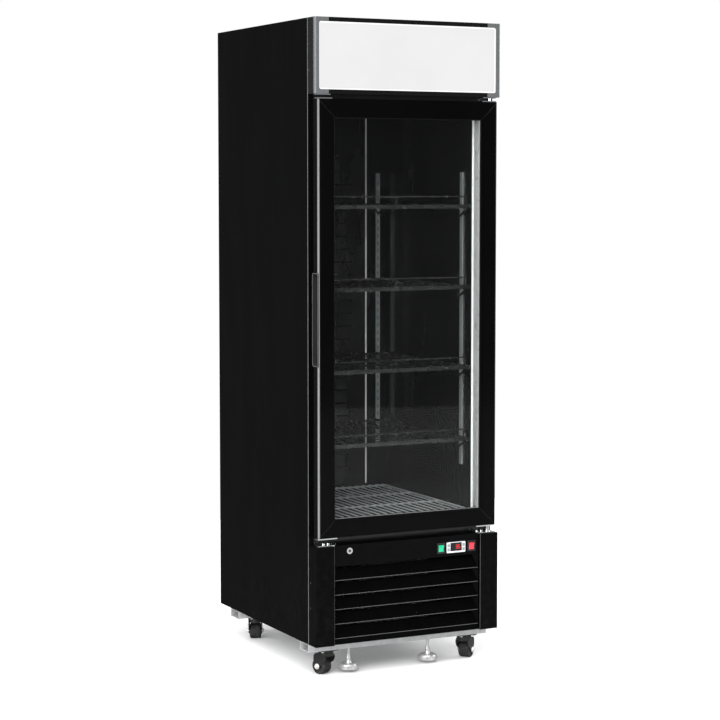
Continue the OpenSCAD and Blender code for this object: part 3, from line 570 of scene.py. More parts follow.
@dataclass(frozen=True)
class TreadRubber(Finish):
    """Tyre rubber with a ribbed tread round its own axle and dusty, scuffed ground contact."""

    centre: Triple = (0.0, 0.0, 0.0)
    turn: float = 0.0
    radius: float = 0.025
    ribs: int = 34
    colour: Colour = (0.008, 0.008, 0.0083)

    def build(self, graph: ShaderGraph) -> bpy.types.Material:
        """Build the tyre."""
        local = graph.mapped((1.0, 1.0, 1.0), (0.0, 0.0, -self.turn), self.centre)
        split = graph.node("ShaderNodeSeparateXYZ")
        graph.wire(local, split.inputs[0])
        along, across, up = split.outputs
        angle = graph.maths("ARCTAN2", up, across)
        slant = graph.maths("MULTIPLY", graph.maths("ABSOLUTE", along), 55.0)
        phase = graph.maths("ADD", graph.maths("MULTIPLY", angle, float(self.ribs)), slant)
        wave = graph.band(graph.maths("SINE", phase), -0.35, 0.35, 0.0, 1.0)
        out = graph.maths("SQRT", graph.maths(
            "ADD", graph.maths("MULTIPLY", across, across), graph.maths("MULTIPLY", up, up)))
        outer = graph.band(out, self.radius - 0.0035, self.radius - 0.002, 0.0, 1.0)
        rib = graph.maths("MULTIPLY", wave, outer)
        dust = graph.noise(170, 5, 0.7)
        base = graph.tint(graph.band(dust, 0.45, 0.8, 0.0, 0.75), self.colour, (0.11, 0.108, 0.104))
        tone = graph.tint(graph.maths("MULTIPLY", rib, 0.55), base, (0.007, 0.007, 0.007))
        rough = graph.band(dust, 0.3, 0.8, 0.55, 0.85)
        tread = graph.relief(graph.maths("SUBTRACT", outer, rib), 0.0008, 0.9)
        skin = graph.relief(graph.noise(1500, 2, 0.6), 0.00006, 0.6, tread)
        graph.surface(Base_Color=tone, Roughness=rough, Specular_IOR_Level=0.35, Normal=skin)
        return graph.material


@dataclass(frozen=True)
class LitFace(Finish):
    """Opal sign face lit from behind: even white, brighter where the light bars sit at its rim."""

    box: Box | None = None
    border: Triple = (0.006, 0.0, 0.006)
    glow: float = 0.78
    rim: float = 1.1
    rim_width: float = 0.0024

    def build(self, graph: ShaderGraph) -> bpy.types.Material:
        """Build the lit face."""
        centre, half = self.box.centre, self.box.size / 2
        local = graph.mapped((1.0, 1.0, 1.0), centre=tuple(centre))
        near_side = graph.maths("ABSOLUTE", graph.axis_value(Axis.X, local))
        near_top = graph.maths("ABSOLUTE", graph.axis_value(Axis.Z, local))
        shown_x, shown_z = half.x - self.border[0], half.z - self.border[2]
        rim = graph.maths(
            "MAXIMUM",
            graph.band(near_side, shown_x - 2 * self.rim_width, shown_x - self.rim_width, 0.0, 1.0),
            graph.band(near_top, shown_z - 2 * self.rim_width, shown_z - self.rim_width, 0.0, 1.0),
        )
        haze = graph.band(graph.noise(4.5, 3, 0.5), 0.3, 0.7, 0.97, 1.03)
        level = graph.maths("MULTIPLY", graph.band(rim, 0.0, 1.0, self.glow, self.rim), haze)
        glow = graph.node("ShaderNodeCombineColor")
        for slot in range(3):
            graph.wire(level, glow.inputs[slot])
        grain = graph.relief(graph.noise(900, 2, 0.5), 0.00003, 0.4)
        rough = graph.band(graph.noise(12, 4, 0.6), 0.3, 0.7, 0.16, 0.3)
        graph.surface(
            Base_Color=(0.05, 0.05, 0.05), Roughness=rough, Emission_Color=glow.outputs[0],
            Emission_Strength=1.0, Normal=grain, Specular_IOR_Level=0.3,
        )
        return graph.material


@dataclass(frozen=True)
class Diffuser(Finish):
    """Milky lamp lens with a soft glow and fine ribs along its length."""

    glow: float = 0.22
    colour: Colour = (0.78, 0.79, 0.8)

    def build(self, graph: ShaderGraph) -> bpy.types.Material:
        """Build the lens."""
        spots = graph.noise(60, 2, 0.4, graph.mapped((1.0, 1.0, 0.6)))
        tone = graph.tint(spots, tuple(c * 0.88 for c in self.colour), self.colour)
        ribs = graph.relief(graph.noise(2400, 1, 0.3, graph.mapped((1.0, 1.0, 0.01))), 0.00005, 0.7)
        graph.surface(
            Base_Color=tone, Roughness=graph.band(spots, 0.3, 0.7, 0.25, 0.4),
            Emission_Color=tone, Emission_Strength=self.glow, Normal=ribs,
        )
        return graph.material


@dataclass(frozen=True)
class DoorGlass(Finish):
    """Clear float glass with a trace of green and faint wipe marks; light passes straight in."""

    colour: Colour = (0.96, 0.968, 0.963)

    def build(self, graph: ShaderGraph) -> bpy.types.Material:
        """Build the glass."""
        wipes = graph.noise(6, 5, 0.65, graph.mapped((1.0, 1.0, 0.5)))
        rough = graph.band(wipes, 0.5, 0.85, 0.0, 0.05)
        tone = graph.tint(wipes, self.colour, tuple(c * 0.985 for c in self.colour))
        shader = graph.surface(
            Base_Color=tone, Roughness=rough, Transmission_Weight=1.0, IOR=1.16
        )
        clear = graph.node("ShaderNodeBsdfTransparent")
        clear.inputs["Color"].default_value = (*self.colour, 1.0)
        rays = graph.node("ShaderNodeLightPath")
        mix = graph.node("ShaderNodeMixShader")
        graph.wire(rays.outputs["Is Shadow Ray"], mix.inputs[0])
        graph.wire(shader.outputs[0], mix.inputs[1])
        graph.wire(clear.outputs[0], mix.inputs[2])
        graph.wire(mix.outputs[0], graph.output.inputs["Surface"])
        return graph.material


@dataclass(frozen=True)
class FinPack(Finish):
    """Stack of thin aluminium fins with a dusty bloom between them; the gaps between the fins are painted
    near black as painted shade.
    """

    pitch: float = 0.0021
    along: Axis = Axis.X
    colour: Colour = (0.5, 0.5, 0.51)

    def build(self, graph: ShaderGraph) -> bpy.types.Material:
        """Build the fins."""
        phase = graph.maths("MULTIPLY", graph.axis_value(self.along), 2 * math.pi / self.pitch)
        fins = graph.band(graph.maths("SINE", phase), -0.5, 0.6, 0.0, 1.0)
        dust = graph.noise(80, 5, 0.7)
        # Painted shade: the gaps between the fins are coloured near black.
        tone = graph.tint(fins, (0.05, 0.05, 0.052), self.colour)
        dusty = graph.tint(graph.band(dust, 0.5, 0.85, 0.0, 0.5), tone, (0.18, 0.17, 0.16))
        bent = graph.relief(fins, 0.0006, 0.8)
        rough = graph.band(dust, 0.3, 0.8, 0.3, 0.6)
        graph.surface(Base_Color=dusty, Roughness=rough, Metallic=0.8, Normal=bent)
        return graph.material


@dataclass(frozen=True)
class CutFoam(Finish):
    """Rigid insulation foam: fine closed cells and a darker skin."""

    colour: Colour = (0.62, 0.5, 0.27)

    def build(self, graph: ShaderGraph) -> bpy.types.Material:
        """Build the foam."""
        cells = graph.node("ShaderNodeTexVoronoi", feature="F1")
        graph.wire(graph.place, cells.inputs["Vector"])
        cells.inputs["Scale"].default_value = 900.0
        skin = graph.noise(14, 5, 0.6)
        tone = graph.tint(skin, tuple(c * 0.75 for c in self.colour), self.colour)
        pits = graph.relief(cells.outputs["Distance"], 0.0004, 0.7)
        graph.surface(Base_Color=tone, Roughness=graph.band(skin, 0.3, 0.7, 0.8, 0.95), Normal=pits)
        return graph.material


@dataclass(frozen=True)
class SwitchLens(Finish):
    """Coloured rocker lens with a soft glow, and the usual bar and ring for on and off."""

    colour: Colour = (0.02, 0.42, 0.06)
    glow: float = 0.12
    box: Box | None = None
    mark_rise: float = 0.0052

    def marks(self, graph: ShaderGraph) -> Socket:
        """Pattern of the bar over the ring.

        Args:
            graph: Graph to build in.

        Returns:
            1 on a mark and 0 off it.
        """
        local = graph.mapped((1.0, 1.0, 1.0), centre=tuple(self.box.centre))
        across = graph.maths("ABSOLUTE", graph.axis_value(Axis.X, local))
        up = graph.axis_value(Axis.Z, local)
        bar_x = graph.band(across, 0.0006, 0.0009, 1.0, 0.0)
        from_bar = graph.maths("ABSOLUTE", graph.maths("SUBTRACT", up, self.mark_rise))
        bar_z = graph.band(from_bar, 0.0024, 0.0027, 1.0, 0.0)
        drop = graph.maths("ADD", up, self.mark_rise)
        out = graph.maths("SQRT", graph.maths(
            "ADD", graph.maths("MULTIPLY", across, across), graph.maths("MULTIPLY", drop, drop)))
        from_ring = graph.maths("ABSOLUTE", graph.maths("SUBTRACT", out, 0.0024))
        ring = graph.band(from_ring, 0.0005, 0.0008, 1.0, 0.0)
        return graph.maths("MAXIMUM", graph.maths("MULTIPLY", bar_x, bar_z), ring)

    def build(self, graph: ShaderGraph) -> bpy.types.Material:
        """Build the lens."""
        depth = graph.noise(150, 2, 0.4)
        pale = tuple(min(1.0, c * 1.25) for c in self.colour)
        tone = graph.tint(depth, tuple(c * 0.55 for c in self.colour), pale)
        if self.box is not None:
            tone = graph.tint(self.marks(graph), tone, (0.62, 0.64, 0.62))
        ribs = graph.relief(graph.noise(1300, 2, 0.4), 0.00003, 0.4)
        graph.surface(
            Base_Color=tone, Roughness=graph.band(depth, 0.3, 0.7, 0.12, 0.22), Coat_Weight=0.4,
            Emission_Color=tone, Emission_Strength=self.glow, Normal=ribs,
        )
        return graph.material


SATIN_BLACK = CoatedSteel("satin_black_coat", (0.0014, 0.0014, 0.0015), 0.42, 0.04, 0.004)
STRIP_BLACK = CoatedSteel("control_strip_coat", (0.0014, 0.0014, 0.0016), 0.34, 0.06, 0.003)
BACK_STEEL = ZincSheet("back_zinc_sheet", (0.4, 0.41, 0.42), 120.0)
RAIL_ZINC = ZincSheet("rail_zinc_sheet", (0.4, 0.405, 0.41), 95.0)
GLOSS_BLACK = GlossCoat("gloss_black_rail", (0.0012, 0.0012, 0.0013), 0.14, 0.05)
# Louvre plastic is set far darker than the case plastic, as painted shade over the recessed louvres.
LOUVRE_BLACK = MouldedPlastic("louvre_black", (0.0008, 0.0008, 0.0009), 0.3, 900.0, 0.00004, 0.04)
# Light grey of the louvre lips: a painted highlight of the louvres' rounded edges.
LIP_HIGHLIGHT_GREY = MouldedPlastic("louvre_lip", (0.085, 0.085, 0.087), 0.3, 900.0, 0.00004, 0.5)
CASE_BLACK = MouldedPlastic("case_black", (0.011, 0.011, 0.0115), 0.36)
LINER_BLACK = GlossCoat("liner_gloss_black", (0.005, 0.005, 0.0052), 0.2, 0.07, 0.3)
DUCT_BLACK = GlossCoat("duct_gloss_black", (0.006, 0.006, 0.0063), 0.24, 0.07, 0.3)
BRIGHT_STEEL = BrightMetal("bright_steel", (0.9, 0.9, 0.89), 0.2, Axis.X, 0.5, 0.7)
STANDARD_STEEL = BrightMetal("standard_steel", (0.4, 0.4, 0.395), 0.16, Axis.Z, 0.5, 0.95)
LAMP_GREY = BrightMetal("lamp_profile_grey", (0.85, 0.855, 0.86), 0.34, Axis.Z, 0.35, 0.15)
ANODISED = BrightMetal("anodised_strip", (0.88, 0.88, 0.88), 0.3, Axis.Z, 0.4, 0.2)
REVEAL_GREY = BrightMetal("reveal_grey", (0.34, 0.34, 0.343), 0.3, Axis.Z, 0.4, 0.25)
SCREW_BLACK = BrightMetal("screw_black", (0.2, 0.2, 0.202), 0.3)
# Light grey of the corner strips, a painted highlight of the side panels' front folds.
FOLD_HIGHLIGHT_GREY = BrightMetal("corner_trim_grey", (0.22, 0.22, 0.22), 0.34, Axis.Z, 0.3, 0.5)
BEAD_GREY = BrightMetal("bead_grey", (0.15, 0.15, 0.15), 0.3, Axis.Z, 0.3, 0.5)
BARREL_STEEL = BrightMetal("barrel_steel", (0.26, 0.26, 0.255), 0.22, Axis.Z)
FOOT_STEEL = BrightMetal("foot_steel", (0.74, 0.74, 0.73), 0.28, Axis.Y, 0.4, 0.7)
BOLT_ZINC = BrightMetal("bolt_zinc", (0.8, 0.79, 0.77), 0.28, Axis.Y, 0.4, 0.5)
WIRE_BLACK = MouldedPlastic("wire_black_coat", (0.0105, 0.0105, 0.011), 0.26, 700.0, 0.00008, 0.5)
WIRE_GREY = MouldedPlastic("wire_grey_coat", (0.36, 0.37, 0.38), 0.34, 700.0, 0.00008, 0.5)
GRIP_BLACK = MouldedPlastic("grip_black", (0.003, 0.003, 0.0032), 0.24, 1000.0, 0.00004, 0.14)
SEAL_GREY = MouldedPlastic("seal_rubber", (0.2, 0.2, 0.2), 0.55, 800.0, 0.0001, 0.3)
BEAD_BLACK = MouldedPlastic("bead_rubber", (0.003, 0.003, 0.0032), 0.5, 800.0, 0.00008, 0.1)
FAN_BLACK = MouldedPlastic("fan_black", (0.013, 0.013, 0.014), 0.4)
SHELL_BLACK = CoatedSteel("compressor_shell", (0.012, 0.012, 0.013), 0.3, 0.45, 0.02)
CASTOR_BLACK = CoatedSteel("castor_black", (0.0022, 0.0022, 0.0024), 0.14, 0.3, 0.012)
CASE_GREY = MouldedPlastic("controller_grey", (0.3, 0.305, 0.31), 0.36, 1200.0, 0.00005, 0.45)
KEY_GREY = MouldedPlastic("key_grey", (0.24, 0.25, 0.26), 0.45, 1200.0, 0.00006, 0.4)
WINDOW_BLACK = GlossCoat("display_window_black", (0.003, 0.002, 0.002), 0.07, 0.08, 0.05)
DIGIT_RED = SwitchLens("digit_red", (0.8, 0.02, 0.015), 0.6)
OPAL_LENS = Diffuser("lamp_lens", 0.08, (0.34, 0.345, 0.35))
LIGHT_BAR = Diffuser("light_bar", 1.5, (0.95, 0.96, 1.0))
CLEAR_GLASS = DoorGlass("door_glass_clear")
FOAM = CutFoam("cut_foam")
COIL_FINS = FinPack("coil_fins")


class Bench:
    """The modelling moves: start a primitive at its size and place, shape it, finish it."""

    @staticmethod
    def clear() -> None:
        """Leave edit mode and select nothing."""
        if bpy.context.object is not None and bpy.context.object.mode != "OBJECT":
            bpy.ops.object.mode_set(mode="OBJECT")
        bpy.ops.object.select_all(action="DESELECT")

    @staticmethod
    def take(piece: bpy.types.Object) -> None:
        """Make one piece the only selected and the active one."""
        Bench.clear()
        piece.select_set(True)
        bpy.context.view_layer.objects.active = piece

    @staticmethod
    def settle(piece: bpy.types.Object) -> None:
        """Put a piece's place, turn and size into its mesh."""
        Bench.take(piece)
        bpy.ops.object.transform_apply(location=True, rotation=True, scale=True)

    @staticmethod
    def block(name: str, box: Box) -> bpy.types.Object:
        """Start from a cube of a box's size and place.

        Args:
            name: Name of the piece.
            box: Where it goes.

        Returns:
            The new object, with its place in its mesh.
        """
        Bench.clear()
        bpy.ops.mesh.primitive_cube_add(size=1.0, location=box.centre)
        piece = bpy.context.object
        piece.name = piece.data.name = name
        piece.scale = box.size
        Bench.settle(piece)
        return piece

    @staticmethod
    def drum(
        name: str, centre: Vector, axis: Axis, radius: float, length: float, sides: int = 32,
    ) -> bpy.types.Object:
        """Start from a cylinder along an axis.

        Args:
            name: Name of the piece.
            centre: Its middle.
            axis: Direction of its length.
            radius: Radius to its corners.
            length: Length.
            sides: Number of sides.

        Returns:
            The new object, with its place in its mesh.
        """
        Bench.clear()
        bpy.ops.mesh.primitive_cylinder_add(
            vertices=sides, radius=radius, depth=length, location=centre, rotation=axis.value
        )
        piece = bpy.context.object
        piece.name = piece.data.name = name
        Bench.settle(piece)
        return piece

    @staticmethod
    def edit(piece: bpy.types.Object, kind: str = "FACE") -> bmesh.types.BMesh:
        """Open a piece in edit mode with nothing selected.

        Args:
            piece: The piece to open.
            kind: Selection mode.

        Returns:
            Its edit mesh.
        """
        Bench.take(piece)
        bpy.ops.object.mode_set(mode="EDIT")
        bpy.ops.mesh.select_mode(type=kind)
        bpy.ops.mesh.select_all(action="DESELECT")
        return bmesh.from_edit_mesh(piece.data)

    @staticmethod
    def pick_faces(piece: bpy.types.Object, test: FaceTest) -> None:
        """Open a piece and select the faces whose middle and normal pass a test.

        Args:
            piece: The piece.
            test: Takes a face's middle and normal.
        """
        mesh = Bench.edit(piece)
        for face in mesh.faces:
            face.select_set(test(face.calc_center_median(), face.normal))
        bmesh.update_edit_mesh(piece.data)

    @staticmethod
    def pick_edges(piece: bpy.types.Object, test: EdgeTest) -> None:
        """Open a piece and select the edges whose middle and direction pass a test.

        Args:
            piece: The piece.
            test: Takes an edge's middle and its direction.
        """
        mesh = Bench.edit(piece, "EDGE")
        for edge in mesh.edges:
            first, second = (v.co for v in edge.verts)
            edge.select_set(test((first + second) / 2, (second - first).normalized()))
        bmesh.update_edit_mesh(piece.data)

    @staticmethod
    def round_edges(piece: bpy.types.Object, width: float, steps: int, test: EdgeTest) -> None:
        """Bevel chosen edges.

        Args:
            piece: The piece.
            width: Width of the bevel.
            steps: Segments across it.
            test: Takes an edge's middle and its direction.
        """
        Bench.pick_edges(piece, test)
        bpy.ops.mesh.bevel(offset=width, segments=steps, affect="EDGES", clamp_overlap=True)
        Bench.clear()

    @staticmethod
    def soften(piece: bpy.types.Object, width: float, steps: int = 2, angle: float = 40.0) -> None:
        """Round every sharp edge with a bevel modifier, applied.

        Args:
            piece: The piece.
            width: Width of the bevel.
            steps: Segments across it.
            angle: Least angle of an edge that is rounded, in degrees.
        """
        Bench.take(piece)
        rounding = piece.modifiers.new("rounding", "BEVEL")
        rounding.width = width
        rounding.segments = steps
        rounding.limit_method = "ANGLE"
        rounding.angle_limit = math.radians(angle)
        bpy.ops.object.modifier_apply(modifier=rounding.name)

    @staticmethod
    def push_faces(piece: bpy.types.Object, test: FaceTest, rim: float, move: Vector) -> None:
        """Inset chosen faces and extrude them by a move.

        Args:
            piece: The piece.
            test: Takes a face's middle and normal.
            rim: Width of the rim that stays.
            move: Move of the inner face.
        """
        Bench.pick_faces(piece, test)
        bpy.ops.mesh.inset(thickness=rim, depth=0.0)
        bpy.ops.mesh.extrude_region_move(TRANSFORM_OT_translate={"value": move})
        Bench.clear()

    @staticmethod
    def hollow(piece: bpy.types.Object, axis: Axis, wall: float) -> None:
        """Open a block along an axis into a ring with an even wall.

        Args:
            piece: The block.
            axis: Direction of the opening.
            wall: Width of the wall.
        """
        Bench.pick_faces(piece, lambda middle, normal: abs(normal[axis.index]) > 0.9)
        bpy.ops.mesh.inset(thickness=wall, depth=0.0, use_individual=True)
        bpy.ops.mesh.bridge_edge_loops()
        Bench.clear()

    @staticmethod
    def turned(piece: bpy.types.Object, angle: float, centre: Vector, axis: Axis) -> None:
        """Turn a piece's mesh about a point.

        Args:
            piece: The piece.
            angle: Turn in radians.
            centre: Point that it turns about.
            axis: Axis of the turn.
        """
        Bench.edit(piece)
        bpy.ops.mesh.select_all(action="SELECT")
        bpy.ops.transform.rotate(value=-angle, orient_axis=axis.name, center_override=centre)
        Bench.clear()

    @staticmethod
    def copied(piece: bpy.types.Object, name: str, move: Vector) -> bpy.types.Object:
        """Copy a piece with its own mesh and move the copy's mesh.

        Args:
            piece: The piece to copy.
            name: Name of the copy.
            move: Where the copy goes from the first one.

        Returns:
            The copy.
        """
        Bench.take(piece)
        bpy.ops.object.duplicate(linked=False)
        made = bpy.context.object
        made.name = made.data.name = name
        made.location = made.location + move
        Bench.settle(made)
        return made

    @staticmethod
    def joined(name: str, pieces: Iterable[bpy.types.Object]) -> bpy.types.Object:
        """Join pieces into one object.

        Args:
            name: Name of the result.
            pieces: The pieces.

        Returns:
            The joined object.
        """
        parts = list(pieces)
        Bench.take(parts[0])
        for part in parts[1:]:
            part.select_set(True)
        if len(parts) > 1:
            bpy.ops.object.join()
        made = bpy.context.object
        made.name = made.data.name = name
        return made

    @staticmethod
    def finish(
        piece: bpy.types.Object, body: str, finish: Finish, slot: str, smooth: float = 40.0,
    ) -> bpy.types.Object:
        """Point the faces outward, smooth, dress and hang a piece on its body.

        Args:
            piece: The piece.
            body: CAD body that it rides on.
            finish: Its finish.
            slot: Material slot of the record; not used.
            smooth: Angle below which edges look smooth, in degrees.

        Returns:
            The finished piece.
        """
        Bench.edit(piece)
        bpy.ops.mesh.select_all(action="SELECT")
        bpy.ops.mesh.remove_doubles(threshold=0.000005)
        bpy.ops.mesh.normals_make_consistent(inside=False)
        Bench.take(piece)
        bpy.ops.object.shade_smooth_by_angle(angle=math.radians(smooth))
        Bench.clear()
        piece.data.materials.clear()
        piece.data.materials.append(finish.make())
        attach(piece, body)
        LOG.info("piece %s rides on %s, %d faces", piece.name, body, len(piece.data.polygons))
        return piece


def dress(node: str, finish: Finish) -> None:
    """Give a CAD node its finish.

    Args:
        node: Name of the node.
        finish: Finish for all its slots.
    """
    slots = frame["nodes"][node].data.materials
    for index in range(len(slots)):
        slots[index] = finish.make()
    LOG.info("node %s wears %s", node, finish.name)


class SubAssembly:
    """A group of nodes that is dressed, and fitted with its small pieces, together."""

    coats: dict[str, Finish]

    def dress(self) -> None:
        """Give every node of the group its finish."""
        for node, finish in self.coats.items():
            dress(node, finish)

    def fit(self) -> None:
        """Add the group's small pieces; a plain group has none."""

    def build(self) -> None:
        """Dress the group and fit its pieces."""
        self.dress()
        self.fit()


@dataclass
class Cabinet(SubAssembly):
    """Outer case, insulation, base and the thin strips along its front corners, coloured light grey as a
    painted highlight of the side panels' rounded front folds.
    """

    trim_depth: float = 0.003
    coats: dict[str, Finish] = field(default_factory=lambda: {
        "side_panels": SATIN_BLACK,
        "roof_panel": SATIN_BLACK,
        "back_panel": BACK_STEEL,
        "rear_grille": BACK_STEEL,
        "base_tray": RAIL_ZINC,
        "base_rails": RAIL_ZINC,
        "foam_core": FOAM,
        "cable_gland": CASE_BLACK,
        "case_screws": SCREW_BLACK,
    })

    def fit(self) -> None:
        """Add the corner strips, the painted highlight of the front folds."""
        panels = Box.of("side_panels")
        for side in Side:
            edge = side.value * panels.high.x
            trim = Bench.block(f"corner_trim_{side.label}", Box.span(
                (edge, edge - side.value * 0.0009),
                (panels.low.y - self.trim_depth, panels.low.y - 0.0001),
                (panels.low.z + 0.001, panels.high.z),
            ))
            Bench.round_edges(trim, 0.0003, 2, lambda middle, way: abs(way.z) > 0.9)
            # Painted highlight: the strip is coloured light along the panel's front fold.
            Bench.finish(trim, "cabinet", FOLD_HIGHLIGHT_GREY, "bright_steel")


@dataclass
class Canopy(SubAssembly):
    """Lit canopy over the door: gloss rails, grey end caps, opal sign and light bars."""

    coats: dict[str, Finish] = field(default_factory=lambda: {
        "canopy_box": GLOSS_BLACK,
        "canopy_led_bars": LIGHT_BAR,
    })

    def dress(self) -> None:
        """Dress the canopy and light the sign across its own box."""
        super().dress()
        dress("canopy_end_caps", CapPlastic("cap_grey", Box.of("canopy_end_caps")))
        dress("canopy_sign", LitFace("sign_opal_face", Box.of("canopy_sign")))


@dataclass
class Plinth(SubAssembly):
    """Louvred plinth with its posts and the warm side behind it."""

    coats: dict[str, Finish] = field(default_factory=lambda: {
        "corner_posts": SATIN_BLACK,
        "louvre_panel": LOUVRE_BLACK,
        "control_strip": STRIP_BLACK,
        "compressor": SHELL_BLACK,
        "condenser": COIL_FINS,
        "condenser_fan": FAN_BLACK,
    })
    louvres: int = 5
    foot_strip: float = 0.018
    lip_rise: float = 0.0016
    lip_height: float = 0.0015
    lip_proud: float = 0.0006
    bead: float = 0.0008
    post_width: float = 0.062

    def fit(self) -> None:
        """Add a lip under each louvre and a bead down the inner edge of each post, both coloured light grey
        as painted highlights of those edges.
        """
        panel, strip, posts = Box.of("louvre_panel"), Box.of("control_strip"), Box.of("corner_posts")
        pitch = (strip.low.z - panel.low.z - self.foot_strip) / self.louvres
        half = panel.high.x - 0.003
        low = panel.low.z + self.foot_strip + self.lip_rise
        front = panel.low.y - self.lip_proud
        first = Bench.block("louvre_lip_1", Box.span(
            (-half, half), (front, panel.low.y + 0.0003), (low - self.lip_height, low - 0.0001)
        ))
        Bench.round_edges(first, 0.0004, 3, lambda middle, way: abs(way.x) > 0.9 and middle.y < panel.low.y)
        lips = [first] + [
            Bench.copied(first, f"louvre_lip_{index + 1}", Vector((0, 0, index * pitch)))
            for index in range(1, self.louvres)
        ]
        # Painted highlight: each lip is coloured light grey along the louvre's edge.
        for lip in lips:
            Bench.finish(lip, "cabinet", LIP_HIGHLIGHT_GREY, "black_plastic")
        for side in Side:
            edge = side.value * (posts.high.x - self.post_width)
            bead = Bench.block(f"post_bead_{side.label}", Box.span(
                (edge + side.value * 0.0002, edge - side.value * self.bead),
                (posts.low.y + 0.0004, posts.low.y + 0.0022),
                (posts.low.z + 0.001, posts.high.z - 0.001),
            ))
            Bench.round_edges(bead, 0.0003, 2, lambda middle, way: abs(way.z) > 0.9)
            # Painted highlight: the bead is coloured grey along the post's inner edge.
            Bench.finish(bead, "cabinet", BEAD_GREY, "bright_steel")


@dataclass
class Display:
    """Seven segment figures behind the controller's window."""

    text: str = "35"
    height: float = 0.0115
    width: float = 0.0056
    stroke: float = 0.0013
    pitch: float = 0.0092
    shift: float = 0.006
    thickness: float = 0.00025
    strokes: dict[str, str] = field(default_factory=lambda: {"3": "abgcd", "5": "afgcd"})

    def segment(self, name: str, middle: Vector, upright: bool) -> bpy.types.Object:
        """Make one stroke with pointed ends.

        Args:
            name: Name of the stroke.
            middle: Its middle, on its back face.
            upright: True for a standing stroke.

        Returns:
            The stroke.
        """
        length = (self.height / 2 if upright else self.width) - self.stroke * 0.35
        wide, tall = (self.stroke, length) if upright else (length, self.stroke)
        half = Vector((wide / 2, 0, tall / 2))
        stroke = Bench.block(name, Box(
            middle - half - Vector((0, self.thickness, 0)), middle + half
        ))
        Bench.round_edges(stroke, self.stroke * 0.45, 1, lambda middle, way: abs(way.y) > 0.9)
        return stroke

    def build(self) -> None:
        """Make the figures and the point between them."""
        window = Box.of("display_window")
        centre = Vector((window.centre.x + self.shift, window.low.y - 0.00005, window.centre.z))
        up, out = self.height / 2, self.width / 2
        spots = {
            "a": (0, up, False), "g": (0, 0, False), "d": (0, -up, False),
            "f": (-out, up / 2, True), "b": (out, up / 2, True),
            "e": (-out, -up / 2, True), "c": (out, -up / 2, True),
        }
        made = []
        for index, figure in enumerate(self.text):
            step = (index - (len(self.text) - 1) / 2) * self.pitch
            for key in self.strokes[figure]:
                x, z, upright = spots[key]
                made.append(self.segment(f"stroke_{index}{key}", centre + Vector((step + x, 0, z)), upright))
        point = Bench.drum("point", centre + Vector((0, -self.thickness / 2, -up)), Axis.Y,
                           self.stroke * 0.55, self.thickness, 12)
        Bench.soften(point, 0.00006, 1)
        digits = Bench.joined("display_digits", [*made, point])
        Bench.finish(digits, "cabinet", DIGIT_RED, "red_lens", 20.0)


@dataclass
class Controls(SubAssembly):
    """Lock, rocker switches and the temperature controller."""

    display: Display = field(default_factory=Display)
    coats: dict[str, Finish] = field(default_factory=lambda: {
        "lock_case": BRIGHT_STEEL,
        "lock_barrel": BARREL_STEEL,
        "switch_bezels": CASE_BLACK,
        "controller_case": CASE_GREY,
        "display_window": WINDOW_BLACK,
        "button_up": KEY_GREY,
        "button_down": KEY_GREY,
        "button_set": KEY_GREY,
        "button_light": KEY_GREY,
    })

    def dress(self) -> None:
        """Dress the controls, with the marks on each rocker lens."""
        super().dress()
        dress("green_rocker", SwitchLens("green_lens", (0.003, 0.14, 0.04), 0.06, Box.of("green_rocker")))
        dress("red_rocker", SwitchLens("red_lens", (0.26, 0.006, 0.01), 0.06, Box.of("red_rocker")))

    def fit(self) -> None:
        """Add the display's figures."""
        self.display.build()


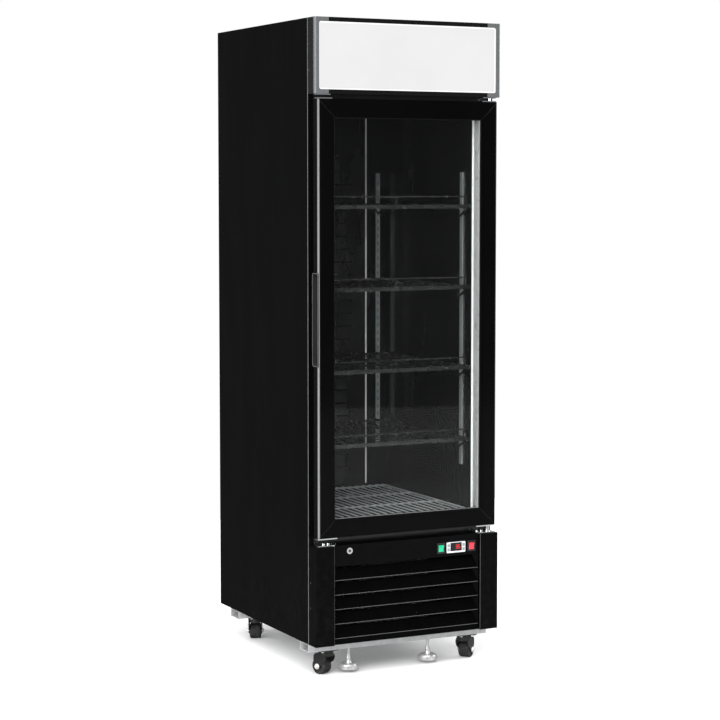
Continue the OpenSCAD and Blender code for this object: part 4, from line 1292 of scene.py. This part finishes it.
@dataclass
class Interior(SubAssembly):
    """Cold room: liner, lamps, shelf standards, air duct and its fan."""

    lens_width: float = 0.009
    lens_proud: float = 0.0019
    strip_width: float = 0.0052
    strip_proud: float = 0.0014
    guard_rings: tuple[float, ...] = (0.018, 0.032, 0.046, 0.06, 0.074)
    guard_wire: float = 0.0011
    guard_spokes: int = 6
    coats: dict[str, Finish] = field(default_factory=lambda: {
        "liner": LINER_BLACK,
        "led_profiles": LAMP_GREY,
        "shelf_standards": STANDARD_STEEL,
        "shelf_clips": WIRE_BLACK,
        "duct_panel": DUCT_BLACK,
        "evaporator_coil": COIL_FINS,
        "evaporator_fan": FAN_BLACK,
    })

    def fit(self) -> None:
        """Add the lamp lenses and the duct's edge strips."""
        lamps = Box.of("led_profiles")
        duct = Box.of("duct_panel")
        fan = Box.of("evaporator_fan")
        wall = lamps.high.x - 0.007
        for side in Side:
            lens = Bench.block(f"lamp_lens_{side.label}", Box.span(
                (side.value * (wall - 0.00005), side.value * (wall - self.lens_proud)),
                (lamps.low.y + 0.0015, lamps.low.y + 0.0015 + self.lens_width),
                (lamps.low.z + 0.012, lamps.high.z - 0.012),
            ))
            inner = side.value * (wall - self.lens_proud)
            Bench.round_edges(
                lens, 0.0016, 4, lambda middle, way: abs(way.z) > 0.9 and abs(middle.x - inner) < 1e-5
            )
            Bench.finish(lens, "cabinet", OPAL_LENS, "led_white")
            face = duct.high.y - 0.012
            strip = Bench.block(f"duct_strip_{side.label}", Box.span(
                (side.value * duct.high.x, side.value * (duct.high.x - self.strip_width)),
                (face - 0.0001, face - self.strip_proud),
                (duct.low.z + 0.001, fan.low.z - 0.03),
            ))
            Bench.round_edges(
                strip, 0.0006, 3, lambda middle, way: abs(way.z) > 0.9 and middle.y < face - 0.001
            )
            Bench.finish(strip, "cabinet", ANODISED, "bright_steel")
        self.fan_guard(Vector((0, Box.of("duct_panel").low.y, fan.centre.z)))

    def fan_guard(self, centre: Vector) -> None:
        """Make the wire guard over the air fan.

        Args:
            centre: Middle of the fan's opening, on the front of its housing.
        """
        wires = []
        for index, radius in enumerate(self.guard_rings):
            Bench.clear()
            bpy.ops.mesh.primitive_torus_add(
                location=centre - Vector((0, 0.0016, 0)), rotation=Axis.Y.value, major_radius=radius,
                minor_radius=self.guard_wire, major_segments=64, minor_segments=8,
            )
            ring = bpy.context.object
            ring.name = f"ring_{index}"
            Bench.settle(ring)
            wires.append(ring)
        inner, outer = self.guard_rings[0], self.guard_rings[-1]
        for index in range(self.guard_spokes):
            angle = 2 * math.pi * index / self.guard_spokes
            spoke = Bench.drum(
                f"spoke_{index}", centre + Vector(((inner + outer) / 2, -0.0034, 0)), Axis.X,
                self.guard_wire, outer - inner + 0.006, 8,
            )
            Bench.soften(spoke, 0.0004, 1)
            Bench.turned(spoke, angle, centre, Axis.Y)
            wires.append(spoke)
        guard = Bench.joined("fan_guard", wires)
        Bench.finish(guard, "cabinet", BRIGHT_STEEL, "bright_steel", 60.0)


@dataclass
class Shelving(SubAssembly):
    """Four black wire shelves and the grey floor rack."""

    coats: dict[str, Finish] = field(default_factory=lambda: {
        "shelf_1": WIRE_BLACK,
        "shelf_2": WIRE_BLACK,
        "shelf_3": WIRE_BLACK,
        "shelf_4": WIRE_BLACK,
        "floor_rack": WIRE_GREY,
    })


@dataclass
class Door(SubAssembly):
    """Glazed door with its hinge plates, seal, grip and the rubber bead round the glass."""

    bead_width: float = 0.0035
    bead_deep: float = 0.003
    rim_width: float = 0.0021
    rim_proud: float = 0.0007
    screw_back: tuple[float, ...] = (0.046, 0.03)
    stile_width: float = 0.054
    reveal_proud: float = 0.0018
    cross_long: float = 0.0024
    cross_narrow: float = 0.00045
    cross_deep: float = 0.0008
    reveal_ribs: int = 3
    coats: dict[str, Finish] = field(default_factory=lambda: {
        "glass_panes": CLEAR_GLASS,
        "glass_spacer": REVEAL_GREY,
        "gasket": SEAL_GREY,
        "door_grip": GRIP_BLACK,
        "door_hinge_plates": BRIGHT_STEEL,
        "hinge_brackets": BRIGHT_STEEL,
    })

    def dress(self) -> None:
        """Dress the door, with a joint line across each corner of its frame and a painted highlight along
        its front edge.
        """
        super().dress()
        dress("door_frame", MitredCoat("gloss_black_frame", Box.of("door_frame")))

    def fit(self) -> None:
        """Add the glazing bead, the grip's rim and the hinge screws."""
        self.glazing_bead()
        self.reveal_strips()
        self.grip_rim()
        self.hinge_screws()

    def reveal_strips(self) -> None:
        """Make the ribbed grey strips on the stiles' inner sides, behind the glass."""
        frame, glass = Box.of("door_frame"), Box.of("glass_panes")
        start, end = glass.high.y + 0.0004, frame.high.y - 0.0003
        pitch = (end - start) / self.reveal_ribs
        for side in Side:
            inner = side.value * (frame.high.x - self.stile_width)
            face = inner - side.value * self.reveal_proud
            ribs = []
            for index in range(self.reveal_ribs):
                low = start + index * pitch
                rib = Bench.block(f"rib_{index}", Box.span(
                    (inner + side.value * 0.0001, face), (low, low + pitch * 0.86),
                    (glass.low.z + 0.009, glass.high.z - 0.009),
                ))
                Bench.soften(rib, 0.0007, 2)
                ribs.append(rib)
            strip = Bench.joined(f"reveal_strip_{side.label}", ribs)
            Bench.finish(strip, "door", REVEAL_GREY, "bright_steel")

    def grip_rim(self) -> None:
        """Make the bright rim round the finger grip."""
        grip = Box.of("door_grip")
        face = grip.low.x
        rim = Bench.block("grip_rim", Box.span(
            (face - self.rim_proud, face + 0.0001), (grip.low.y, grip.high.y), (grip.low.z, grip.high.z)
        ))
        Bench.round_edges(rim, 0.009, 6, lambda middle, way: abs(way.x) > 0.9)
        Bench.hollow(rim, Axis.X, self.rim_width)
        front = face - self.rim_proud
        Bench.round_edges(
            rim, 0.0003, 2, lambda middle, way: abs(way.x) < 0.1 and abs(middle.x - front) < 1e-5
        )
        Bench.finish(rim, "door", BEAD_GREY, "bright_steel")

    def hinge_screws(self) -> None:
        """Make the domed, cross recessed screws that hold the lower brackets."""
        bracket = Box.of("hinge_brackets")
        heads = []
        for side in Side:
            for back in self.screw_back:
                centre = Vector((
                    side.value * (bracket.high.x - back), bracket.low.y + 0.025, bracket.low.z + 0.0059
                ))
                heads.append(self.screw(f"screw_{side.label}_{len(heads)}", centre))
        screws = Bench.joined("hinge_screws", heads)
        Bench.finish(screws, "cabinet", BRIGHT_STEEL, "bright_steel", 35.0)

    def screw(self, name: str, centre: Vector) -> bpy.types.Object:
        """Make one screw head with a crown and a cross cut into it.

        Args:
            name: Name of the head.
            centre: Its middle.

        Returns:
            The screw head.
        """
        head = Bench.drum(name, centre, Axis.Z, 0.0042, 0.0014, 24)
        top = centre.z + 0.0007
        Bench.round_edges(
            head, 0.0005, 3, lambda middle, way: abs(way.z) < 0.1 and abs(middle.z - top) < 1e-5
        )
        cutter = Bench.joined("cross", [
            Bench.block(f"cut_{wide}_{deep}", Box.span(
                (centre.x - wide, centre.x + wide), (centre.y - deep, centre.y + deep),
                (top - self.cross_deep, top + 0.001),
            ))
            for wide, deep in (
                (self.cross_long, self.cross_narrow), (self.cross_narrow, self.cross_long),
            )
        ])
        Bench.take(head)
        cut = head.modifiers.new("cross", "BOOLEAN")
        cut.object = cutter
        cut.solver = "EXACT"
        cut.use_self = True
        bpy.ops.object.modifier_apply(modifier=cut.name)
        Bench.take(cutter)
        bpy.ops.object.delete()
        return head

    def glazing_bead(self) -> None:
        """Make the rubber bead between the frame and the glass."""
        frame_box, glass = Box.of("door_frame"), Box.of("glass_panes")
        inner = frame_box.high.x - self.stile_width
        low, high = frame_box.low.z + self.stile_width, frame_box.high.z - self.stile_width
        front = glass.low.y - self.bead_deep
        bead = Bench.block("glazing_bead", Box.span(
            (-inner, inner), (glass.low.y - 0.0001, front), (low, high)
        ))
        Bench.hollow(bead, Axis.Y, self.bead_width)
        near = 1e-4
        Bench.round_edges(
            bead, 0.0012, 3,
            lambda middle, way: (
                abs(middle.y - front) < 1e-5 and abs(middle.x) < inner - near
                and low + near < middle.z < high - near
            ),
        )
        Bench.finish(bead, "door", BEAD_BLACK, "seal_rubber")


@dataclass
class Castors(SubAssembly):
    """Four swivel castors, their tyres and axle nuts, and the levelling feet."""

    turns: tuple[float, ...] = (23.0, -52.0, -27.0, 38.0)
    nut_out: float = 0.0243
    fork_face: float = 0.0219
    bolt_out: float = 0.0225
    plate_half: float = 0.029
    coats: dict[str, Finish] = field(default_factory=lambda: {
        "castor_plates": CASTOR_BLACK,
        "castor_fork_1": CASTOR_BLACK,
        "castor_fork_2": CASTOR_BLACK,
        "castor_fork_3": CASTOR_BLACK,
        "castor_fork_4": CASTOR_BLACK,
        "foot_left": FOOT_STEEL,
        "foot_right": FOOT_STEEL,
    })

    def dress(self) -> None:
        """Dress the castors, each tyre with a tread about its own axle."""
        super().dress()
        for index in range(1, 5):
            wheel = Box.of(f"castor_wheel_{index}")
            turn = math.radians(self.turns[index - 1])
            dress(f"castor_wheel_{index}", TreadRubber(f"tyre_rubber_{index}", tuple(wheel.centre), turn))

    def fit(self) -> None:
        """Add the axle nuts and the plate bolts."""
        self.axle_nuts()
        self.plate_bolts()

    def plate_bolts(self) -> None:
        """Make the hex bolts under the castor plates, four to a plate."""
        plates = Box.of("castor_plates")
        half = self.plate_half
        first = Bench.drum(
            "bolt_1", Vector((plates.low.x + half - self.bolt_out, plates.low.y + half - self.bolt_out,
                              plates.high.z - 0.0047)), Axis.Z, 0.0045, 0.0032, 6)
        Bench.soften(first, 0.0005, 2)
        under = plates.high.z - 0.0063
        Bench.push_faces(
            first, lambda middle, normal: normal.z < -0.9 and abs(middle.z - under) < 1e-4,
            0.0012, Vector((0, 0, 0.0005)),
        )
        far = Vector((plates.size.x - 2 * half, plates.size.y - 2 * half, 0))
        step = 2 * self.bolt_out
        moves = [
            Vector((plate_x * far.x + step_x * step, plate_y * far.y + step_y * step, 0))
            for plate_x in (0, 1) for plate_y in (0, 1) for step_x in (0, 1) for step_y in (0, 1)
        ]
        bolts = [first] + [
            Bench.copied(first, f"bolt_{index + 2}", move) for index, move in enumerate(moves[1:])
        ]
        fitted = Bench.joined("plate_bolts", bolts)
        Bench.finish(fitted, "cabinet", BOLT_ZINC, "bright_steel", 30.0)

    def axle_nuts(self) -> None:
        """Make a domed hex nut and its washer for both ends of each axle."""
        for index in range(1, 5):
            wheel = Box.of(f"castor_wheel_{index}")
            turn = math.radians(self.turns[index - 1])
            nuts = []
            for side in Side:
                out = wheel.centre + Vector((side.value * self.nut_out, 0, 0))
                nut = Bench.drum(f"nut_{side.label}", out, Axis.X, 0.0072, 0.0048, 6)
                face = out.x + side.value * 0.0024
                Bench.soften(nut, 0.0005, 2)
                Bench.push_faces(
                    nut,
                    lambda middle, normal: side.value * normal.x > 0.9 and abs(middle.x - face) < 1e-4,
                    0.0018, Vector((side.value * 0.0009, 0, 0)),
                )
                seat = wheel.centre + Vector((side.value * (self.fork_face + 0.0004), 0, 0))
                washer = Bench.drum(f"washer_{side.label}", seat, Axis.X, 0.0088, 0.0009, 32)
                Bench.soften(washer, 0.0003, 2)
                nuts += [nut, washer]
            fitted = Bench.joined(f"axle_nuts_{index}", nuts)
            Bench.turned(fitted, turn, wheel.centre, Axis.Z)
            Bench.finish(fitted, f"castor_fork_{index}", BOLT_ZINC, "bright_steel", 30.0)


@dataclass
class Studio:
    """Pale floor, soft lamps and the camera."""

    floor_size: float = 5.0
    eye: Triple = (-2.8651, -5.7611, 1.4827)
    yaw: float = 26.579
    pitch: float = 4.308
    lens: float = 101.23
    shift: float = -0.03

    def floor(self) -> None:
        """Lay the pale floor."""
        graph = ShaderGraph("studio_floor")
        soft = graph.noise(1.2, 3, 0.5)
        tone = graph.tint(soft, (0.93, 0.93, 0.93), (0.95, 0.95, 0.95))
        graph.surface(Base_Color=tone, Roughness=0.85, Specular_IOR_Level=0.1)
        Bench.clear()
        bpy.ops.mesh.primitive_plane_add(size=self.floor_size, location=(0, 0, 0))
        floor = bpy.context.object
        floor.name = "studio_floor"
        floor.data.materials.append(graph.material)
        floor.visible_glossy = False

    def lamp(self, name: str, at: Triple, target: Triple, size: tuple[float, float], power: float) -> None:
        """Hang a soft rectangular lamp.

        Args:
            name: Name of the lamp.
            at: Its place.
            target: Point that it faces.
            size: Width and height.
            power: Power in watts.
        """
        Bench.clear()
        bpy.ops.object.light_add(type="AREA", location=at)
        lamp = bpy.context.object
        lamp.name = name
        lamp.data.shape = "RECTANGLE"
        lamp.data.size, lamp.data.size_y = size
        lamp.data.energy = power
        lamp.visible_camera = False
        lamp.rotation_euler = (Vector(target) - Vector(at)).to_track_quat("-Z", "Y").to_euler()

    def daylight(self, toward: Triple, strength: float) -> None:
        """Hang one very wide overhead light that reaches the whole floor.

        Args:
            toward: Direction from the floor to the light.
            strength: Its strength.
        """
        Bench.clear()
        bpy.ops.object.light_add(type="SUN")
        lamp = bpy.context.object
        lamp.name = "overhead_soft"
        lamp.data.energy = strength
        lamp.data.angle = math.radians(70)
        lamp.rotation_euler = (-Vector(toward)).to_track_quat("-Z", "Y").to_euler()

    def sky(self) -> None:
        """Set the white room: bright to the eye, dimmer as a light."""
        world = bpy.data.worlds.new("studio_room")
        bpy.context.scene.world = world
        world.use_nodes = True
        tree = world.node_tree
        tree.nodes.clear()
        seen = tree.nodes.new("ShaderNodeBackground")
        seen.inputs["Color"].default_value = (1, 1, 1, 1)
        mirrored = tree.nodes.new("ShaderNodeBackground")
        mirrored.inputs["Color"].default_value = (0.97, 0.98, 1, 1)
        mirrored.inputs["Strength"].default_value = 0.22
        ambient = tree.nodes.new("ShaderNodeBackground")
        ambient.inputs["Strength"].default_value = 0.5
        rays = tree.nodes.new("ShaderNodeLightPath")
        soft = tree.nodes.new("ShaderNodeMixShader")
        mix = tree.nodes.new("ShaderNodeMixShader")
        out = tree.nodes.new("ShaderNodeOutputWorld")
        for source, target in (
            (rays.outputs["Is Diffuse Ray"], soft.inputs[0]), (mirrored.outputs[0], soft.inputs[1]),
            (ambient.outputs[0], soft.inputs[2]), (rays.outputs["Is Camera Ray"], mix.inputs[0]),
            (soft.outputs[0], mix.inputs[1]), (seen.outputs[0], mix.inputs[2]),
            (mix.outputs[0], out.inputs[0]),
        ):
            tree.links.new(source, target)

    def camera(self) -> None:
        """Stand the camera at the left of the door, a little over half height."""
        Bench.clear()
        bpy.ops.object.camera_add(
            location=self.eye, rotation=(math.radians(90 - self.pitch), 0, -math.radians(self.yaw))
        )
        camera = bpy.context.object
        camera.name = "studio_camera"
        camera.data.lens = self.lens
        camera.data.sensor_width = 36.0
        camera.data.shift_y = self.shift
        camera.data.clip_end = 60.0
        bpy.context.scene.camera = camera

    def build(self) -> None:
        """Set up the whole studio."""
        self.floor()
        self.sky()
        self.daylight((-0.35, -0.45, 0.82), 3.5)
        self.lamp("left_wall", (-2.8, -1.7, 1.25), (0, -0.3, 1.0), (2.4, 2.6), 110)
        self.lamp("key_soft", (-2.2, -4.6, 3.6), (0, -0.3, 0.9), (1.2, 1.0), 60)
        self.lamp("floor_bounce", (0.7, -2.05, 0.02), (0.4, -0.9, 1.6), (1.9, 1.7), 5.5)
        self.lamp("right_wall", (3.0, -0.6, 1.3), (0, 0, 1.0), (2.2, 2.4), 90)
        self.lamp("back_soft", (2.6, 2.6, 2.8), (0, 0, 1.0), (1.6, 1.6), 45)
        self.camera()
        bpy.context.scene.view_settings.view_transform = "Standard"
        bpy.context.scene.view_settings.look = "None"


def main() -> None:
    """Build every sub-assembly in order and report what each one holds."""
    logging.basicConfig(level=logging.INFO, format="%(name)s: %(message)s")
    Studio().build()
    groups = (Cabinet(), Canopy(), Plinth(), Controls(), Interior(), Shelving(), Door(), Castors())
    for group in groups:
        LOG.info("building %s", type(group).__name__)
        group.build()


if __name__ == "__main__":
    main()
